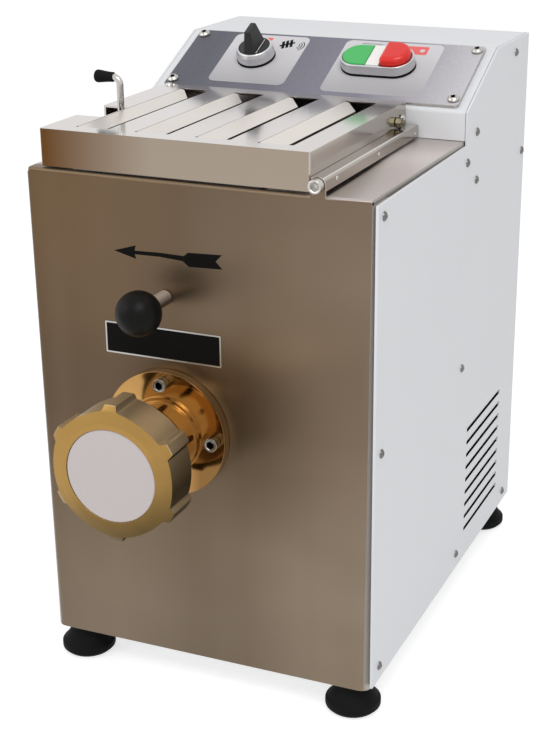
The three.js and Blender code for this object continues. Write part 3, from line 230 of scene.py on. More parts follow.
# %% [markdown]
# ## Finishes
#
# Rolled stainless sheet carries long faint bands along the rolling direction and a fine grain that blurs what it
# mirrors. Powder coat has a soft orange peel. Turned bronze has rings that follow the tool. Each finish is a base
# colour, a roughness that wanders a little and a small bump. The front sheet, the lid, the bronze, the brass, the pin
# and the light fields also carry painted reflections, highlights and shade in their base colours.


# %% Metal finishes
SHEET_GRAIN, TOOL_MARKS, CAST_GRAIN = 900, 2600, 420


def rolled_steel(name, dark, light, roughness):
    made = Finish(name, metallic=1.0)
    bands = made.noise(1.0, stretch=(9, 9, 0.6))
    grain = made.noise(SHEET_GRAIN)
    made.set("Base Color", made.blend((bands * 2.2 - 0.6).clamp(), dark, light))
    made.set("Roughness", roughness + grain * 0.06 + bands * 0.04)
    made.bump(grain, 0.05, 0.05)
    return made.material


def turned_metal(name, colour, worn, roughness):
    made = Finish(name, metallic=1.0)
    smudge = made.noise(22, detail=4.0)
    tool = made.noise(TOOL_MARKS, stretch=(0, 1, 0), detail=1.0)
    made.set("Base Color", made.blend(smudge, colour, worn))
    made.set("Roughness", roughness + smudge * 0.12)
    made.bump(tool, 0.12, 0.03)
    return made.material


def cast_metal(name, colour, worn, roughness):
    made = Finish(name, metallic=1.0)
    cloud = made.noise(30, detail=4.0)
    grain = made.noise(CAST_GRAIN, detail=3.0)
    made.set("Base Color", made.blend(cloud, colour, worn))
    made.set("Roughness", roughness + grain * 0.14)
    made.bump(grain, 0.25, 0.10)
    return made.material


def front_finish():
    """Painted reflections: a front sheet warm at the top, darker in the middle, greyer below, and a pale grey deck.
    """
    made = Finish("stainless_front", metallic=1.0)
    bands = made.noise(1.0, stretch=(13, 13, 0.8))
    clouds = made.noise(1.0, stretch=(5, 5, 9))
    grain = made.noise(SHEET_GRAIN)
    # Painted reflections of the room, by height: lighter below, darker in the middle, warm at the top.
    height = made.along("Z") + bands * 0.05 - 0.025
    across = made.between("X", -130, 130)
    low = made.blend(across, (124, 110, 94), (142, 128, 112))
    middle = made.blend(across, (96, 79, 62), (120, 104, 87))
    upper = made.blend(across, (110, 88, 64), (129, 113, 97))
    face = made.blend(height.rise(0.05, 0.21), low, middle)
    face = made.blend(height.rise(0.24, 0.37), face, upper)
    # Painted reflections: soft dark clouds where the sheet mirrors the room.
    face = made.blend((clouds * 3 - 1.3).clamp() * 0.4, face, (92, 77, 60))
    face = made.blend((bands * 2.6 - 1.3).clamp() * 0.30, face, (160, 146, 130))
    # Painted reflection of the nozzle: dark to the right of its flange, and a little darker round the middle.
    beside = made.between("X", -40, 30) * made.between("X", 110, 50)
    beside = beside * made.between("Z", 120, 180) * made.between("Z", 270, 210)
    face = made.blend(beside * 0.5, face, (76, 61, 45))
    centre = made.between("X", -70, -10) * made.between("X", 75, 20)
    face = made.blend(centre * 0.36, face, (84, 70, 54))
    # Painted reflection: the folded edges at both sides face the bright room and are made paler.
    side = made.along("X", "Normal")
    side = (side * side).rise(0.3, 0.8)
    face = made.blend(side, face, (176, 171, 166))
    made.set("Metallic", 1 - side * 0.6)
    # Painted light: the deck faces the sky and is given a pale grey.
    deck = made.blend(bands, (196, 187, 183), (206, 198, 195))
    # Painted shade: the deck's front strip lies in the shade of the lid.
    under_lid = made.between("X", 90, 80) * made.between("Y", -130, -136)
    deck = made.blend(under_lid, deck, (124, 108, 90))
    made.set("Base Color", made.blend(made.facing("Z", 0.4, 0.8), face, deck))
    made.set("Roughness", 0.30 + grain * 0.05 + bands * 0.06)
    made.bump(grain, 0.03, 0.05)
    made.set("Anisotropic", 0.75)
    return made.material


def lid_finish():
    """Lid in painted reflections: pale on top, greyer at its right, a warm skirt in front darkest at its left end."""
    made = Finish("stainless_lid", metallic=1.0)
    bands = made.noise(1.0, stretch=(9, 0.9, 9))
    grain = made.noise(SHEET_GRAIN)
    skirt = made.blend(made.between("X", -112, -30), (102, 70, 38), (160, 147, 132))
    sheet = made.blend(bands, (192, 187, 184), (212, 207, 204))
    colour = made.blend(made.facing("X", 0.5, 0.8), sheet, (172, 164, 155))
    # The skirt's painted reflection stops short of the rounded front edge, which keeps the pale top as a painted
    # highlight.
    front = made.facing("Y", -0.85, -0.97) * made.between("Y", -130, -136)
    made.set("Base Color", made.blend(front, colour, skirt))
    made.set("Roughness", 0.09 + front * 0.12 + grain * 0.05 + bands * 0.04)
    made.bump(grain, 0.02, 0.05)
    return made.material


def bronze_finish():
    """Polished bronze in painted reflections: soft dark patches of the room, darker at its lower right, pale on its
    round parts.
    """
    made = Finish("turned_bronze", metallic=1.0)
    room = (made.noise(15, detail=1.0) * 7 - 3.2).clamp()
    tool = made.noise(TOOL_MARKS, stretch=(0, 1, 0), detail=1.0)
    shine = made.blend(room * 0.6, (182, 140, 84), (158, 120, 72))
    low_right = made.between("Z", 222, 196) * made.between("X", -12, 4)
    shine = made.blend(low_right, shine, (130, 96, 56))
    round_part = made.facing("Y", -0.8, -0.4)
    made.set("Base Color", made.blend(round_part, shine, (208, 180, 138)))
    made.set("Roughness", 0.07 + room * 0.05)
    made.bump(tool, 0.08, 0.03)
    return made.material


def pin_finish():
    """The bright pin behind the ball, in painted light: pale on top and dark underneath, as if lit from above."""
    made = Finish("pin_steel", metallic=0.6, roughness=0.28)
    under = made.facing("Z", 0.9, -0.1)
    made.set("Base Color", made.blend(under, (214, 203, 192), (84, 71, 58)))
    return made.material


def nut_finish():
    """Satin brass in painted light and shade: a warm face that darkens towards its lower right, on sides pale above
    and dark below.
    """
    made = Finish("satin_brass", metallic=1.0)
    grain = made.noise(700, detail=3.0)
    cloud = made.noise(30)
    height = made.along("Z") - made.along("X") * 0.4 + cloud * 0.03
    face = made.blend(height.rise(0.18, 0.235), (92, 76, 46), (166, 131, 74))
    side = made.blend(made.facing("Z", -0.1, 0.8), (58, 48, 30), (255, 236, 200))
    side = made.blend(cloud * 0.4, side, (128, 112, 76))
    made.set("Base Color", made.blend(made.facing("Y", -0.35, -0.8), side, face))
    made.set("Roughness", 0.30 + grain * 0.10)
    made.bump(grain, 0.10, 0.02)
    return made.material


front_steel = front_finish()
lid_steel = lid_finish()
bronze_metal = bronze_finish()
brass_metal = nut_finish()
pin_steel = pin_finish()
# A paler copy of the lid's steel: painted light on the bent tongues of the lid.
lit_tongue_steel = rolled_steel("stainless_tongue_lit", (216, 209, 203), (226, 219, 213), 0.30)
bright_steel = turned_metal("polished_steel", (205, 202, 198), (176, 172, 168), 0.16)
tub_steel = rolled_steel("stainless_tub", (120, 118, 116), (150, 148, 145), 0.28)
screw_steel = turned_metal("screw_steel", (150, 146, 140), (112, 107, 100), 0.20)
nickel_metal = turned_metal("satin_nickel", (196, 194, 192), (168, 166, 164), 0.28)
alloy_metal = cast_metal("cast_alloy", (150, 152, 155), (120, 122, 125), 0.40)
gear_metal = turned_metal("oiled_gear_steel", (120, 122, 126), (92, 92, 94), 0.30)
dark_zinc = turned_metal("dark_zinc", (126, 122, 104), (98, 94, 78), 0.30)
# A darker copy of the screw steel: painted shade on the panel screws.
dark_steel = turned_metal("shaded_steel", (132, 130, 128), (100, 98, 96), 0.24)
satin_collar = turned_metal("satin_collar", (214, 214, 216), (198, 198, 200), 0.30)


# %% Paint, plastic and rubber
def coated(name, colour, roughness, peel_size=260, peel=0.06, tint=None, sheen=0.5):
    """Paint, plastic or rubber: the size and strength of its peel, a second tint and how much it shines."""
    made = Finish(name)
    made.set("Specular IOR Level", sheen)
    peel_noise = made.noise(peel_size)
    cloud = made.noise(9, detail=3.0)
    made.set("Base Color", made.blend(cloud * 0.5, colour, tint or colour))
    made.set("Roughness", roughness + peel_noise * 0.08)
    made.bump(peel_noise, peel, 0.10)
    return made.material


white_coat = coated("white_powder_coat", (217, 219, 222), 0.36, tint=(209, 211, 215))
black_gloss = coated("black_ball_plastic", (14, 14, 13), 0.36, 500, 0.02, sheen=0.10)
black_plastic = coated("black_moulded_plastic", (26, 26, 27), 0.34, 800, 0.10, sheen=0.25)
black_rubber = coated("black_rubber", (17, 17, 17), 0.62, 700, 0.25, tint=(24, 24, 24), sheen=0.08)
plug_plastic = coated("white_plug_plastic", (192, 183, 181), 0.46, 300, 0.03, tint=(182, 175, 174))
green_plastic = coated("green_button_plastic", (58, 176, 88), 0.30, 300, 0.01)
red_plastic = coated("red_button_plastic", (214, 28, 20), 0.26, 300, 0.01)
lens_plastic = coated("white_lens_plastic", (232, 232, 228), 0.25, 300, 0.01)
knob_plastic = coated("matt_knob_plastic", (38, 38, 38), 0.46, 700, 0.08, sheen=0.3)
ink_print = coated("black_ink", (12, 11, 10), 0.55, 500, 0.01, sheen=0.06)
# Painted shade for the vent slots' edges and the screw sockets.
shade_paint = coated("dark_recess", (12, 12, 12), 0.8, sheen=0.05)
grey_print = coated("grey_ink", (84, 90, 92), 0.45, 500, 0.01)
red_print = coated("red_ink", (228, 96, 92), 0.45, 500, 0.01)


def overlay_finish():
    """A printed film with a fine speckle, darker towards its left."""
    made = Finish("grey_overlay", metallic=0.2, roughness=0.45)
    speckle = (made.noise(1400, roughness=0.7) * 2.4 - 0.7).clamp()
    left = made.blend(speckle, (66, 66, 78), (94, 94, 106))
    middle = made.blend(speckle, (104, 103, 116), (136, 135, 148))
    right = made.blend(speckle, (176, 174, 178), (206, 204, 208))
    colour = made.blend(made.between("X", -100, 20), left, middle)
    made.set("Base Color", made.blend(made.between("X", 40, 120), colour, right))
    return made.material


def field_finish():
    """The light fields, with painted shade below the controls that greys them towards their lower edge."""
    made = Finish("light_field_print", roughness=0.42)
    made.set("Base Color", made.blend(made.between("Z", 412, 432), (164, 162, 165), (202, 200, 203)))
    return made.material


overlay_print = overlay_finish()
field_print = field_finish()
print("materials", len(bpy.data.materials))

# %% [markdown]
# ## Hand tools
#
# These helpers do what a modeller does by hand: start from a primitive, extrude, spin, cut and bevel it, and put
# the result in place.


# %% Selection and shading
def edit(action=None):
    """Goes into edit mode, and selects or deselects everything if it is told to."""
    bpy.ops.object.mode_set(mode="EDIT")
    if action:
        bpy.ops.mesh.select_all(action=action)


def leave_edit():
    bpy.ops.object.mode_set(mode="OBJECT")


def clear_selection():
    if bpy.context.object and bpy.context.object.mode != "OBJECT":
        leave_edit()
    bpy.ops.object.select_all(action="DESELECT")


def take(obj):
    clear_selection()
    obj.select_set(True)
    bpy.context.view_layer.objects.active = obj
    return obj


def named(name):
    obj = bpy.context.object
    obj.name = name
    obj.data.name = name
    return obj


def settle(obj):
    """Back to object mode, with the place moved into the mesh."""
    take(obj)
    bpy.ops.object.transform_apply(location=True, rotation=True, scale=True)
    return obj


def apply_modifier(obj, kind, **settings):
    take(obj)
    modifier = obj.modifiers.new(kind.lower(), kind)
    for key, value in settings.items():
        setattr(modifier, key, value)
    bpy.ops.object.modifier_apply(modifier=modifier.name)
    return obj


def smooth_over(obj, angle=35):
    """Smooth shading up to the angle, with the normals of large flat faces kept flat."""
    take(obj)
    bpy.ops.object.shade_smooth_by_angle(angle=math.radians(angle))
    return apply_modifier(obj, "WEIGHTED_NORMAL", keep_sharp=True)


def soften(obj, width, segments=2, angle=35):
    """Rounds every edge sharper than the angle, as a deburred or moulded edge is."""
    apply_modifier(obj, "BEVEL", width=width * MM, segments=segments, limit_method="ANGLE",
                   angle_limit=math.radians(angle), use_clamp_overlap=True)
    return smooth_over(obj, angle=40)


def tidy_normals(obj, merge=0.002):
    take(obj)
    edit("SELECT")
    bpy.ops.mesh.remove_doubles(threshold=merge * MM)
    bpy.ops.mesh.normals_make_consistent(inside=False)
    leave_edit()
    return obj


# %% Outlines
EDGE_SHARE = 0.45


def eased(points, ease, steps=3, closed=False):
    """The same chain of points with each corner rounded by a curve that takes at most a share of each edge."""
    chain = [Vector(point) for point in points]
    made = []
    for i, corner in enumerate(chain):
        if not closed and i in (0, len(chain) - 1):
            made.append(tuple(corner))
            continue
        before, after = chain[i - 1], chain[(i + 1) % len(chain)]
        reach = min(ease, EDGE_SHARE * (before - corner).length, EDGE_SHARE * (after - corner).length)
        start = corner + (before - corner).normalized() * reach
        end = corner + (after - corner).normalized() * reach
        for k in range(steps + 1):
            t = k / steps
            made.append(tuple(start * (1 - t) ** 2 + corner * 2 * t * (1 - t) + end * t * t))
    return made


def arc(middle, radius, start, end, steps):
    """Points of an arc, angles in degrees."""
    turn = [math.radians(start + (end - start) * i / steps) for i in range(steps + 1)]
    return [(middle[0] + radius * math.cos(a), middle[1] + radius * math.sin(a)) for a in turn]


def round_outline(x0, x1, y0, y1, radius, steps=6):
    corners = [((x1 - radius, y0 + radius), -90), ((x1 - radius, y1 - radius), 0),
               ((x0 + radius, y1 - radius), 90), ((x0 + radius, y0 + radius), 180)]
    return [p for middle, start in corners for p in arc(middle, radius, start, start + 90, steps)]


def half_stadium(half, radius, edge, steps=24):
    """One end of a stadium, cut off straight at the edge; its side is the sign of the edge."""
    side = math.copysign(1, edge)
    end = arc((side * (half - radius), 0), radius, -90, -90 + side * 180, steps)
    return [(edge, -radius), *end, (edge, radius)]


# %% Solids from outlines
AXES = {"X": Vector((1, 0, 0)), "Y": Vector((0, 1, 0)), "Z": Vector((0, 0, 1))}
TURNS = {"X": (0, math.pi / 2, 0), "Y": (math.pi / 2, 0, 0), "Z": (0, 0, 0)}
ORIGIN = Vector((0, 0, 0))


def extrude(step):
    """Extrudes what is selected, in edit mode, by a step in metres."""
    bpy.ops.mesh.extrude_region_move(TRANSFORM_OT_translate={"value": step})


def line_of(points):
    """Draws a chain of edges through the points by extruding one vertex, and stays in edit mode."""
    clear_selection()
    bpy.ops.mesh.primitive_plane_add(size=MM, location=points[0])
    bpy.ops.object.transform_apply(location=True)
    edit()
    bpy.ops.mesh.merge(type="CENTER")
    for before, after in zip(points, points[1:]):
        extrude(Vector(after) - Vector(before))


def face_of(points):
    """Closes the chain of points to one face, and stays in edit mode."""
    line_of(points)
    edit("SELECT")
    bpy.ops.mesh.edge_face_add()


def turned(name, profile, centre, axis, steps=64, ring=False):
    """A turned body: [radius, along] points spun round the axis. A ring's profile closes on itself."""
    along = AXES[axis]
    out = AXES["X" if axis == "Z" else "Z"]
    chain = list(profile) + ([profile[0]] if ring else [])
    line_of([centre + (along * a + out * r) * MM for r, a in chain])
    edit("SELECT")
    bpy.ops.mesh.spin(steps=steps, angle=2 * math.pi, center=centre, axis=along)
    leave_edit()
    return smooth_over(tidy_normals(named(name)))


def prism(name, outline, low, high):
    """An outline in X and Y, closed to a face and extruded from low to high."""
    face_of([mm(x, y, low) for x, y in outline])
    extrude((0, 0, (high - low) * MM))
    leave_edit()
    return tidy_normals(named(name))


def cylinder(name, radius, length, spot, axis, sides=48):
    """A round or many-sided bar with its middle at the spot."""
    clear_selection()
    bpy.ops.mesh.primitive_cylinder_add(vertices=sides, radius=radius * MM, depth=length * MM, location=spot,
                                        rotation=TURNS[axis])
    return settle(named(name))


def box_of(name, low, high):
    """A box between two corners given in metres."""
    clear_selection()
    bpy.ops.mesh.primitive_cube_add(size=1, location=(Vector(low) + Vector(high)) / 2)
    bpy.context.object.scale = Vector(high) - Vector(low)
    return settle(named(name))


def combine(obj, operation, others):
    for other in others:
        apply_modifier(obj, "BOOLEAN", operation=operation, object=other, solver="EXACT")
        bpy.data.objects.remove(other)
    return obj


def cut_with(obj, *cutters):
    return combine(obj, "DIFFERENCE", cutters)


def fuse(obj, *others):
    return combine(obj, "UNION", others)


def again(obj, name, step=(0, 0, 0)):
    """A second copy of a finished piece, moved by the step in millimetres."""
    take(obj)
    bpy.ops.object.duplicate()
    bpy.ops.transform.translate(value=Vector(step) * MM)
    return settle(named(name))


# %% Putting pieces in place
SLOPE_FOOT = (190, 403.5)
SLOPE_RUN, SLOPE_RISE = 76, 35.5
SLOPE = math.atan2(SLOPE_RISE, SLOPE_RUN)
OUT_OF_SLOPE = Vector((0, -math.sin(SLOPE), math.cos(SLOPE)))
OUT_OF_FRONT = Vector((0, -1, 0))


def stand(obj):
    """Turns a prism so that its outline lies in X and Z and its thickness runs out of the front sheet."""
    obj.rotation_euler.x = math.pi / 2
    obj.location = place(0, 0, 0)
    return settle(obj)


def on_slope(across, up):
    """A point of the control slope, across and up from the slope's foot."""
    return place(across, SLOPE_FOOT[0] + up * math.cos(SLOPE), SLOPE_FOOT[1] + up * math.sin(SLOPE))


def lay(obj, across=0, up=0):
    """Lays a piece drawn on the ground onto the control slope."""
    obj.rotation_euler.x = SLOPE
    obj.location = on_slope(across, up)
    return settle(obj)


def dress(obj, material, body, slot_name, *nodes):
    """Gives a finished piece its material, body and the nodes that it stands for, and prints it; slot_name is not
    used.
    """
    settle(obj)
    obj.data.materials.clear()
    obj.data.materials.append(material)
    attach(obj, body)
    if nodes:
        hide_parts(*nodes)
    clear_selection()
    print(obj.name, "on", body, *nodes)
    return obj


def polish(obj, body, *nodes):
    return dress(obj, bright_steel, body, "bright_steel", *nodes)


def paint_where(obj, material, test):
    """Gives the faces that the test picks, by their middle and direction, a second material."""
    obj.data.materials.append(material)
    for face in obj.data.polygons:
        if test(face.center / MM, face.normal):
            face.material_index = len(obj.data.materials) - 1


def in_socket(spot, outward, radius, low, high):
    """The test for a screw's socket: faces near its axis and between two heights above the spot."""
    def test(middle, normal):
        away = middle - spot / MM
        height = away.dot(outward)
        return (away - outward * height).length < radius and low < height < high

    return test


def from_node(name, node, width=0.3):
    """A copy of a node's solid, welded, with flat faces joined and its edges rounded."""
    obj = added(name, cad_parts[node].data.copy())
    tidy_normals(obj)
    edit("SELECT")
    bpy.ops.mesh.dissolve_limited(angle_limit=math.radians(1))
    leave_edit()
    return soften(obj, width, angle=50)


def middle_of(node):
    """The middle of a node's box, as x and z in millimetres."""
    low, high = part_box(node)
    return (low.x + high.x) / 2 / MM, (low.z + high.z) / 2 / MM


def axis_of(node):
    """The point of the front sheet's face in front of a node's middle."""
    x, z = middle_of(node)
    return place(x, 0, z)


NUT_X, NUT_Z = middle_of("ring_nut")
KNOB_X, KNOB_Z = middle_of("ball_knob")
HINGE_X, HINGE_Z = middle_of("hinge_bolt_front")
NOZZLE, KNOB, HINGE = axis_of("ring_nut"), axis_of("ball_knob"), axis_of("hinge_bolt_front")
LEVER_X, LEVER_Y, LEVER_FOOT = -99.04, 85.5, 226.4
SELECTOR = (-58, 47)
BUTTONS = (45, 46)
print("nozzle", round(NUT_X, 2), round(NUT_Z, 2), "knob", round(KNOB_X, 2), round(KNOB_Z, 2))

# %% [markdown]
# ## Sheet metal
#
# The case is folded from sheet, so its solids already have the right folds. A welded copy of each gets small
# rounded edges, which catch the light as real sheet edges do.

# %% Case
VENT_Y, VENT_Z = (60, 140), (40, 170)

dress(from_node("front_sheet", "front_cover"), front_steel, "root", "stainless", "front_cover")
for part, node in (("left_panel", "left_side_panel"), ("right_panel", "right_side_panel"),
                   ("tower_sheet", "tower_cover"), ("back_panel", "rear_panel"), ("base_tray", "base_plate")):
    dress(from_node(part, node), white_coat, "root", "white_paint", node)
dress(from_node("mixing_tub", "tub"), tub_steel, "root", "bright_steel", "tub")


def in_vent(middle, normal):
    """The cut edges of the vent slots: faces in the slots' field that don't look sideways."""
    return abs(normal.x) < 0.6 and VENT_Y[0] < middle.y < VENT_Y[1] and VENT_Z[0] < middle.z < VENT_Z[1]


# Painted shade: the vent slots' cut edges get a dark finish, as the inside of the case is in shade.
for panel in ("left_panel", "right_panel"):
    paint_where(bpy.data.objects[panel], shade_paint, in_vent)

# %% The deck's folded edges stand close to the side panels, and closest at the tower
DECK_Z, FAR = 360, 1000


def push(obj, low, high, step):
    """Moves the points between two corners by the step, in millimetres; y counts from the front sheet's face."""
    print(obj.name, "edge moved by", step)
    take(obj)
    edit("DESELECT")
    leave_edit()
    for point in obj.data.vertices:
        spot = point.co / MM - Vector((0, CASE_FRONT, 0))
        point.select = all(start < value < end for start, value, end in zip(low, spot, high))
    edit()
    bpy.ops.transform.translate(value=Vector(step) * MM)
    leave_edit()


for panel, step in (("left_panel", 5), ("right_panel", -3.6)):
    push(bpy.data.objects[panel], (-FAR, -FAR, -FAR), (FAR, 6, FAR), (0, step, 0))
for side in (-1, 1):
    for inner, outer, behind, step in ((118, 123.5, -FAR, 3.0), (121, FAR, 180, 1.8)):
        x0, x1 = sorted((side * inner, side * outer))
        push(bpy.data.objects["front_sheet"], (x0, behind, DECK_Z), (x1, FAR, FAR), (side * step, 0, 0))

# %% Lid and hinge strip
# A round hole at the front end of each fold lets the sheet tear cleanly when its tongue is bent down.
FOLDS = (0.108, 0.3351, 0.5622, 0.7893)
FOLD_FRONT = 14.8
STRIP_RIVETS = ((23.7, 388.2), (102, 387.2), (179.3, 386.6))

lid_box = from_node("lid_box", "lid", width=0.5)
lid_low, lid_high = (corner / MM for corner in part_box("lid"))
lid_width = lid_high.x - lid_low.x
for share in FOLDS:
    spot = mm(lid_low.x + lid_width * share, lid_low.y + FOLD_FRONT, lid_high.z)
    cut_with(lid_box, cylinder("relief", 1.1, 6, spot, "Z", 20))
dress(smooth_over(lid_box), lid_steel, "lid_body", "stainless", "lid")


def on_tongue(middle, normal):
    return 0.1 < normal.x < 0.3 and normal.z > 0.9


# Painted light: the bent tongues face the light and get a paler copy of the lid's steel.
paint_where(lid_box, lit_tongue_steel, on_tongue)
dress(from_node("lid_strip", "hinge_strip", width=0.25), lid_steel, "lid_body", "stainless", "hinge_strip")
corner_profile = eased([(0, -0.6), (3, -0.6), (3, 0), (2.5, 1.3), (0, 1.7)], 0.5)
polish(turned("lid_corner_screw", corner_profile, place(-111, 183, lid_high.z), "Z", 32), "lid_body")
strip_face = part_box("hinge_strip")[1].x / MM
rivet_profile = eased([(0, -0.9), (1.3, -0.9), (1.3, 0), (1.9, 0), (1.5, 0.6), (0, 0.8)], 0.2)
for number, (y, z) in enumerate(STRIP_RIVETS, 1):
    rivet = turned(f"strip_rivet_{number}", rivet_profile, place(strip_face, y, z), "X", 24)
    polish(rivet, "lid_body")

# %% [markdown]
# ## Barrel and ring nut
#
# The bronze barrel is turned in one piece: a bolted flange with a low step, a neck, and a threaded head. The brass
# ring nut is milled with six ribs, so its outline is drawn as a curve and then cut by a turned envelope.

# %% Barrel
thread = [(38 if i % 2 == 0 else 37, -46 - 1.4 * i) for i in range(20)]
barrel_profile = [(19, 193.7), (26, 193.7), (26, -0.3), (45.9, -0.3), (45.9, -8), (28, -8), (28, -10.5),
                  (25.5, -10.5), (25.5, -37.5), (37, -43.3), *thread, (38, -75.3), (30, -75.3), (19, -57.3)]
barrel_body = turned("barrel_body", eased(barrel_profile, 0.45, 2, closed=True), NOZZLE, "Y", 96, ring=True)
flat = box_of("flat", place(NUT_X - 27, 7.8, NUT_Z + 21.5), place(NUT_X + 27, 200, NUT_Z + 40))
throat = box_of("throat", place(NUT_X - 14, 58, NUT_Z), place(NUT_X + 14, 84, NUT_Z + 40))
dress(smooth_over(cut_with(barrel_body, flat, throat)), bronze_metal, "root", "bronze", "barrel")

# %% Flange screws
BOLT_CIRCLE = 38
cap_profile = eased([(0, 7.5), (3, 7.5), (3, -8.3), (5, -8.3), (5, -14.8), (0, -14.8)], 0.5)
cap_screw = turned("flange_bolt_1", cap_profile, place(NUT_X + BOLT_CIRCLE, 0, NUT_Z), "Y", 48)
cut_with(cap_screw, cylinder("socket", 3.0, 8.4, place(NUT_X + BOLT_CIRCLE, -15, NUT_Z), "Y", 6))
smooth_over(cap_screw)
cap_steps = ((-BOLT_CIRCLE, 0, BOLT_CIRCLE), (-2 * BOLT_CIRCLE, 0, 0), (-BOLT_CIRCLE, 0, -BOLT_CIRCLE))
cap_copies = [again(cap_screw, f"flange_bolt_{number}", step) for number, step in enumerate(cap_steps, 2)]
for number, screw in enumerate([cap_screw, *cap_copies], 1):
    node = f"flange_screw_{number}"
    dress(screw, screw_steel, "root", "bright_steel", node)
    # Painted shade in the socket.
    paint_where(screw, shade_paint, in_socket(axis_of(node), OUT_OF_FRONT, 2.95, 8, 14.6))


# %% Ring nut
NUT_BACK, NUT_FRONT = 55.3, 85.3
NUT_RADIUS, RIB_RADIUS, HOLLOW_DEPTH = 45, 48.8, 0.8
RIB_SPACING, RIB_HALF, FLANK, NUT_STEP = 60, 7.2, 2.6, 1.2


def nut_reach(degree):
    """The nut's radius at an angle: six ribs with short flanks, and a shallow hollow between each pair."""
    past = (degree - RIB_SPACING / 2) % RIB_SPACING
    off = min(past, RIB_SPACING - past)
    flank = min(max((RIB_HALF - off) / FLANK, 0), 1)
    rib = flank * flank * (3 - 2 * flank)
    gap = min(max((past - RIB_HALF) / (RIB_SPACING - 2 * RIB_HALF), 0), 1)
    hollow = NUT_RADIUS - HOLLOW_DEPTH * math.sin(math.pi * gap)
    return hollow + (RIB_RADIUS - hollow) * rib


nut_points = []
for i in range(round(360 / NUT_STEP)):
    angle, reach = math.radians(i * NUT_STEP), nut_reach(i * NUT_STEP)
    nut_points.append((NUT_X + reach * math.cos(angle), NUT_Z + reach * math.sin(angle)))
nut_body = prism("nut_body_ring", nut_points, NUT_BACK, NUT_FRONT)
nut_centre = mm(NUT_X, NUT_Z, 0)
hull_profile = eased([(0, NUT_BACK), (47.6, NUT_BACK), (48.9, 56.4), (48.9, 80.6), (45.2, 82.7), (36.8, 85.2),
                      (0, NUT_FRONT)], 0.9)
combine(nut_body, "INTERSECT", [turned("envelope", hull_profile, nut_centre, "Z", 120)])
bore_profile = [(0, 50), (38.5, 50), (38.5, 79.3), (32.9, 79.3), (32.9, 90), (0, 90)]
cut_with(nut_body, turned("bore", bore_profile, nut_centre, "Z", 120))
dress(smooth_over(tidy_normals(stand(nut_body), 0.02), 30), brass_metal, "nut_body", "brass", "ring_nut")

# %% Plug
plug_profile = eased([(0, -75.6), (37, -75.6), (37, -78.8), (32.8, -78.8), (32.8, -84.8), (0, -84.8)], 0.7)
dress(turned("plug_disc", plug_profile, NOZZLE, "Y", 96), plug_plastic, "plug_body", "white_plastic", "die_plug")

# %% Pulling pin and its ball
BALL_RADIUS, BALL_MIDDLE = 15.5, -38
pin_profile = eased([(0, -34.5), (3, -34.5), (3, 34), (0, 34)], 0.6)
dress(turned("knob_rod", pin_profile, KNOB, "Y", 32), pin_steel, "pulling_pin", "bright_steel", "pin_rod")
collar_profile = eased([(3, -0.5), (5.2, -0.5), (5.2, -24), (3, -24)], 0.4, closed=True)
dress(turned("knob_collar", collar_profile, KNOB, "Y", 48, ring=True), pin_steel, "pulling_pin", "bright_steel")
ball_profile = [(BALL_RADIUS * math.sin(math.radians(a)), BALL_MIDDLE - BALL_RADIUS * math.cos(math.radians(a)))
                for a in range(0, 160, 5)]
ball_profile += eased([ball_profile[-1], (5.6, -22.6), (3.4, -22.6), (3.4, -34.9), (0, -34.9)], 0.3)[1:]
dress(turned("knob_ball", ball_profile, KNOB, "Y", 64), black_gloss, "pulling_pin", "black_plastic", "ball_knob")

# %% Bolts of the hinge and fasteners of the skirt
SKIRT_Z, DOME_Y, HEX_Y, HEX_HEIGHT = 397, 176, 166, 4.5
head_profile = eased([(0, 6.5), (1.9, 6.5), (1.9, -0.3), (4.7, -0.3), (4.7, -6.3), (0, -6.3)], 0.5)
hinge_head = turned("hinge_bolt", head_profile, HINGE, "Y", 40)
cut_with(hinge_head, cylinder("socket", 2.5, 6.4, place(HINGE_X, -6.5, HINGE_Z), "Y", 6))
polish(smooth_over(hinge_head), "root", "hinge_bolt_front")
rear_profile = eased([(0, 183.5), (1.9, 183.5), (1.9, 194), (0, 194)], 0.4)
polish(turned("hinge_rear_pin", rear_profile, HINGE, "Y", 24), "root", "hinge_pin_rear")
skirt_face = lid_high.x + 0.3
dome_profile = eased([(0, -3.3), (2, -3.3), (2, 0), (3.8, 0), (3.8, 1.2), (2.6, 3), (0, 3.4)], 0.8)
dome = turned("skirt_dome", dome_profile, place(skirt_face, DOME_Y, SKIRT_Z), "X", 32)
polish(dome, "lid_body", "skirt_screw")
hex_nut = cylinder("skirt_hex", 3.9, HEX_HEIGHT, place(skirt_face + HEX_HEIGHT / 2, HEX_Y, SKIRT_Z), "X", 6)
stud_profile = eased([(0, -3.3), (2, -3.3), (2, 6.5), (0, 6.5)], 0.5)
stud = turned("stud", stud_profile, place(skirt_face, HEX_Y, SKIRT_Z), "X", 24)
dress(soften(fuse(hex_nut, stud), 0.3), dark_zinc, "lid_body", "gear_steel", "skirt_nut")

# %% [markdown]
# ## Shutter lever
#
# The lever is one bent bar: a disc is extruded upwards, spun through a quarter turn and extruded to the left. Its
# rubber grip flares towards a closed, rounded end.

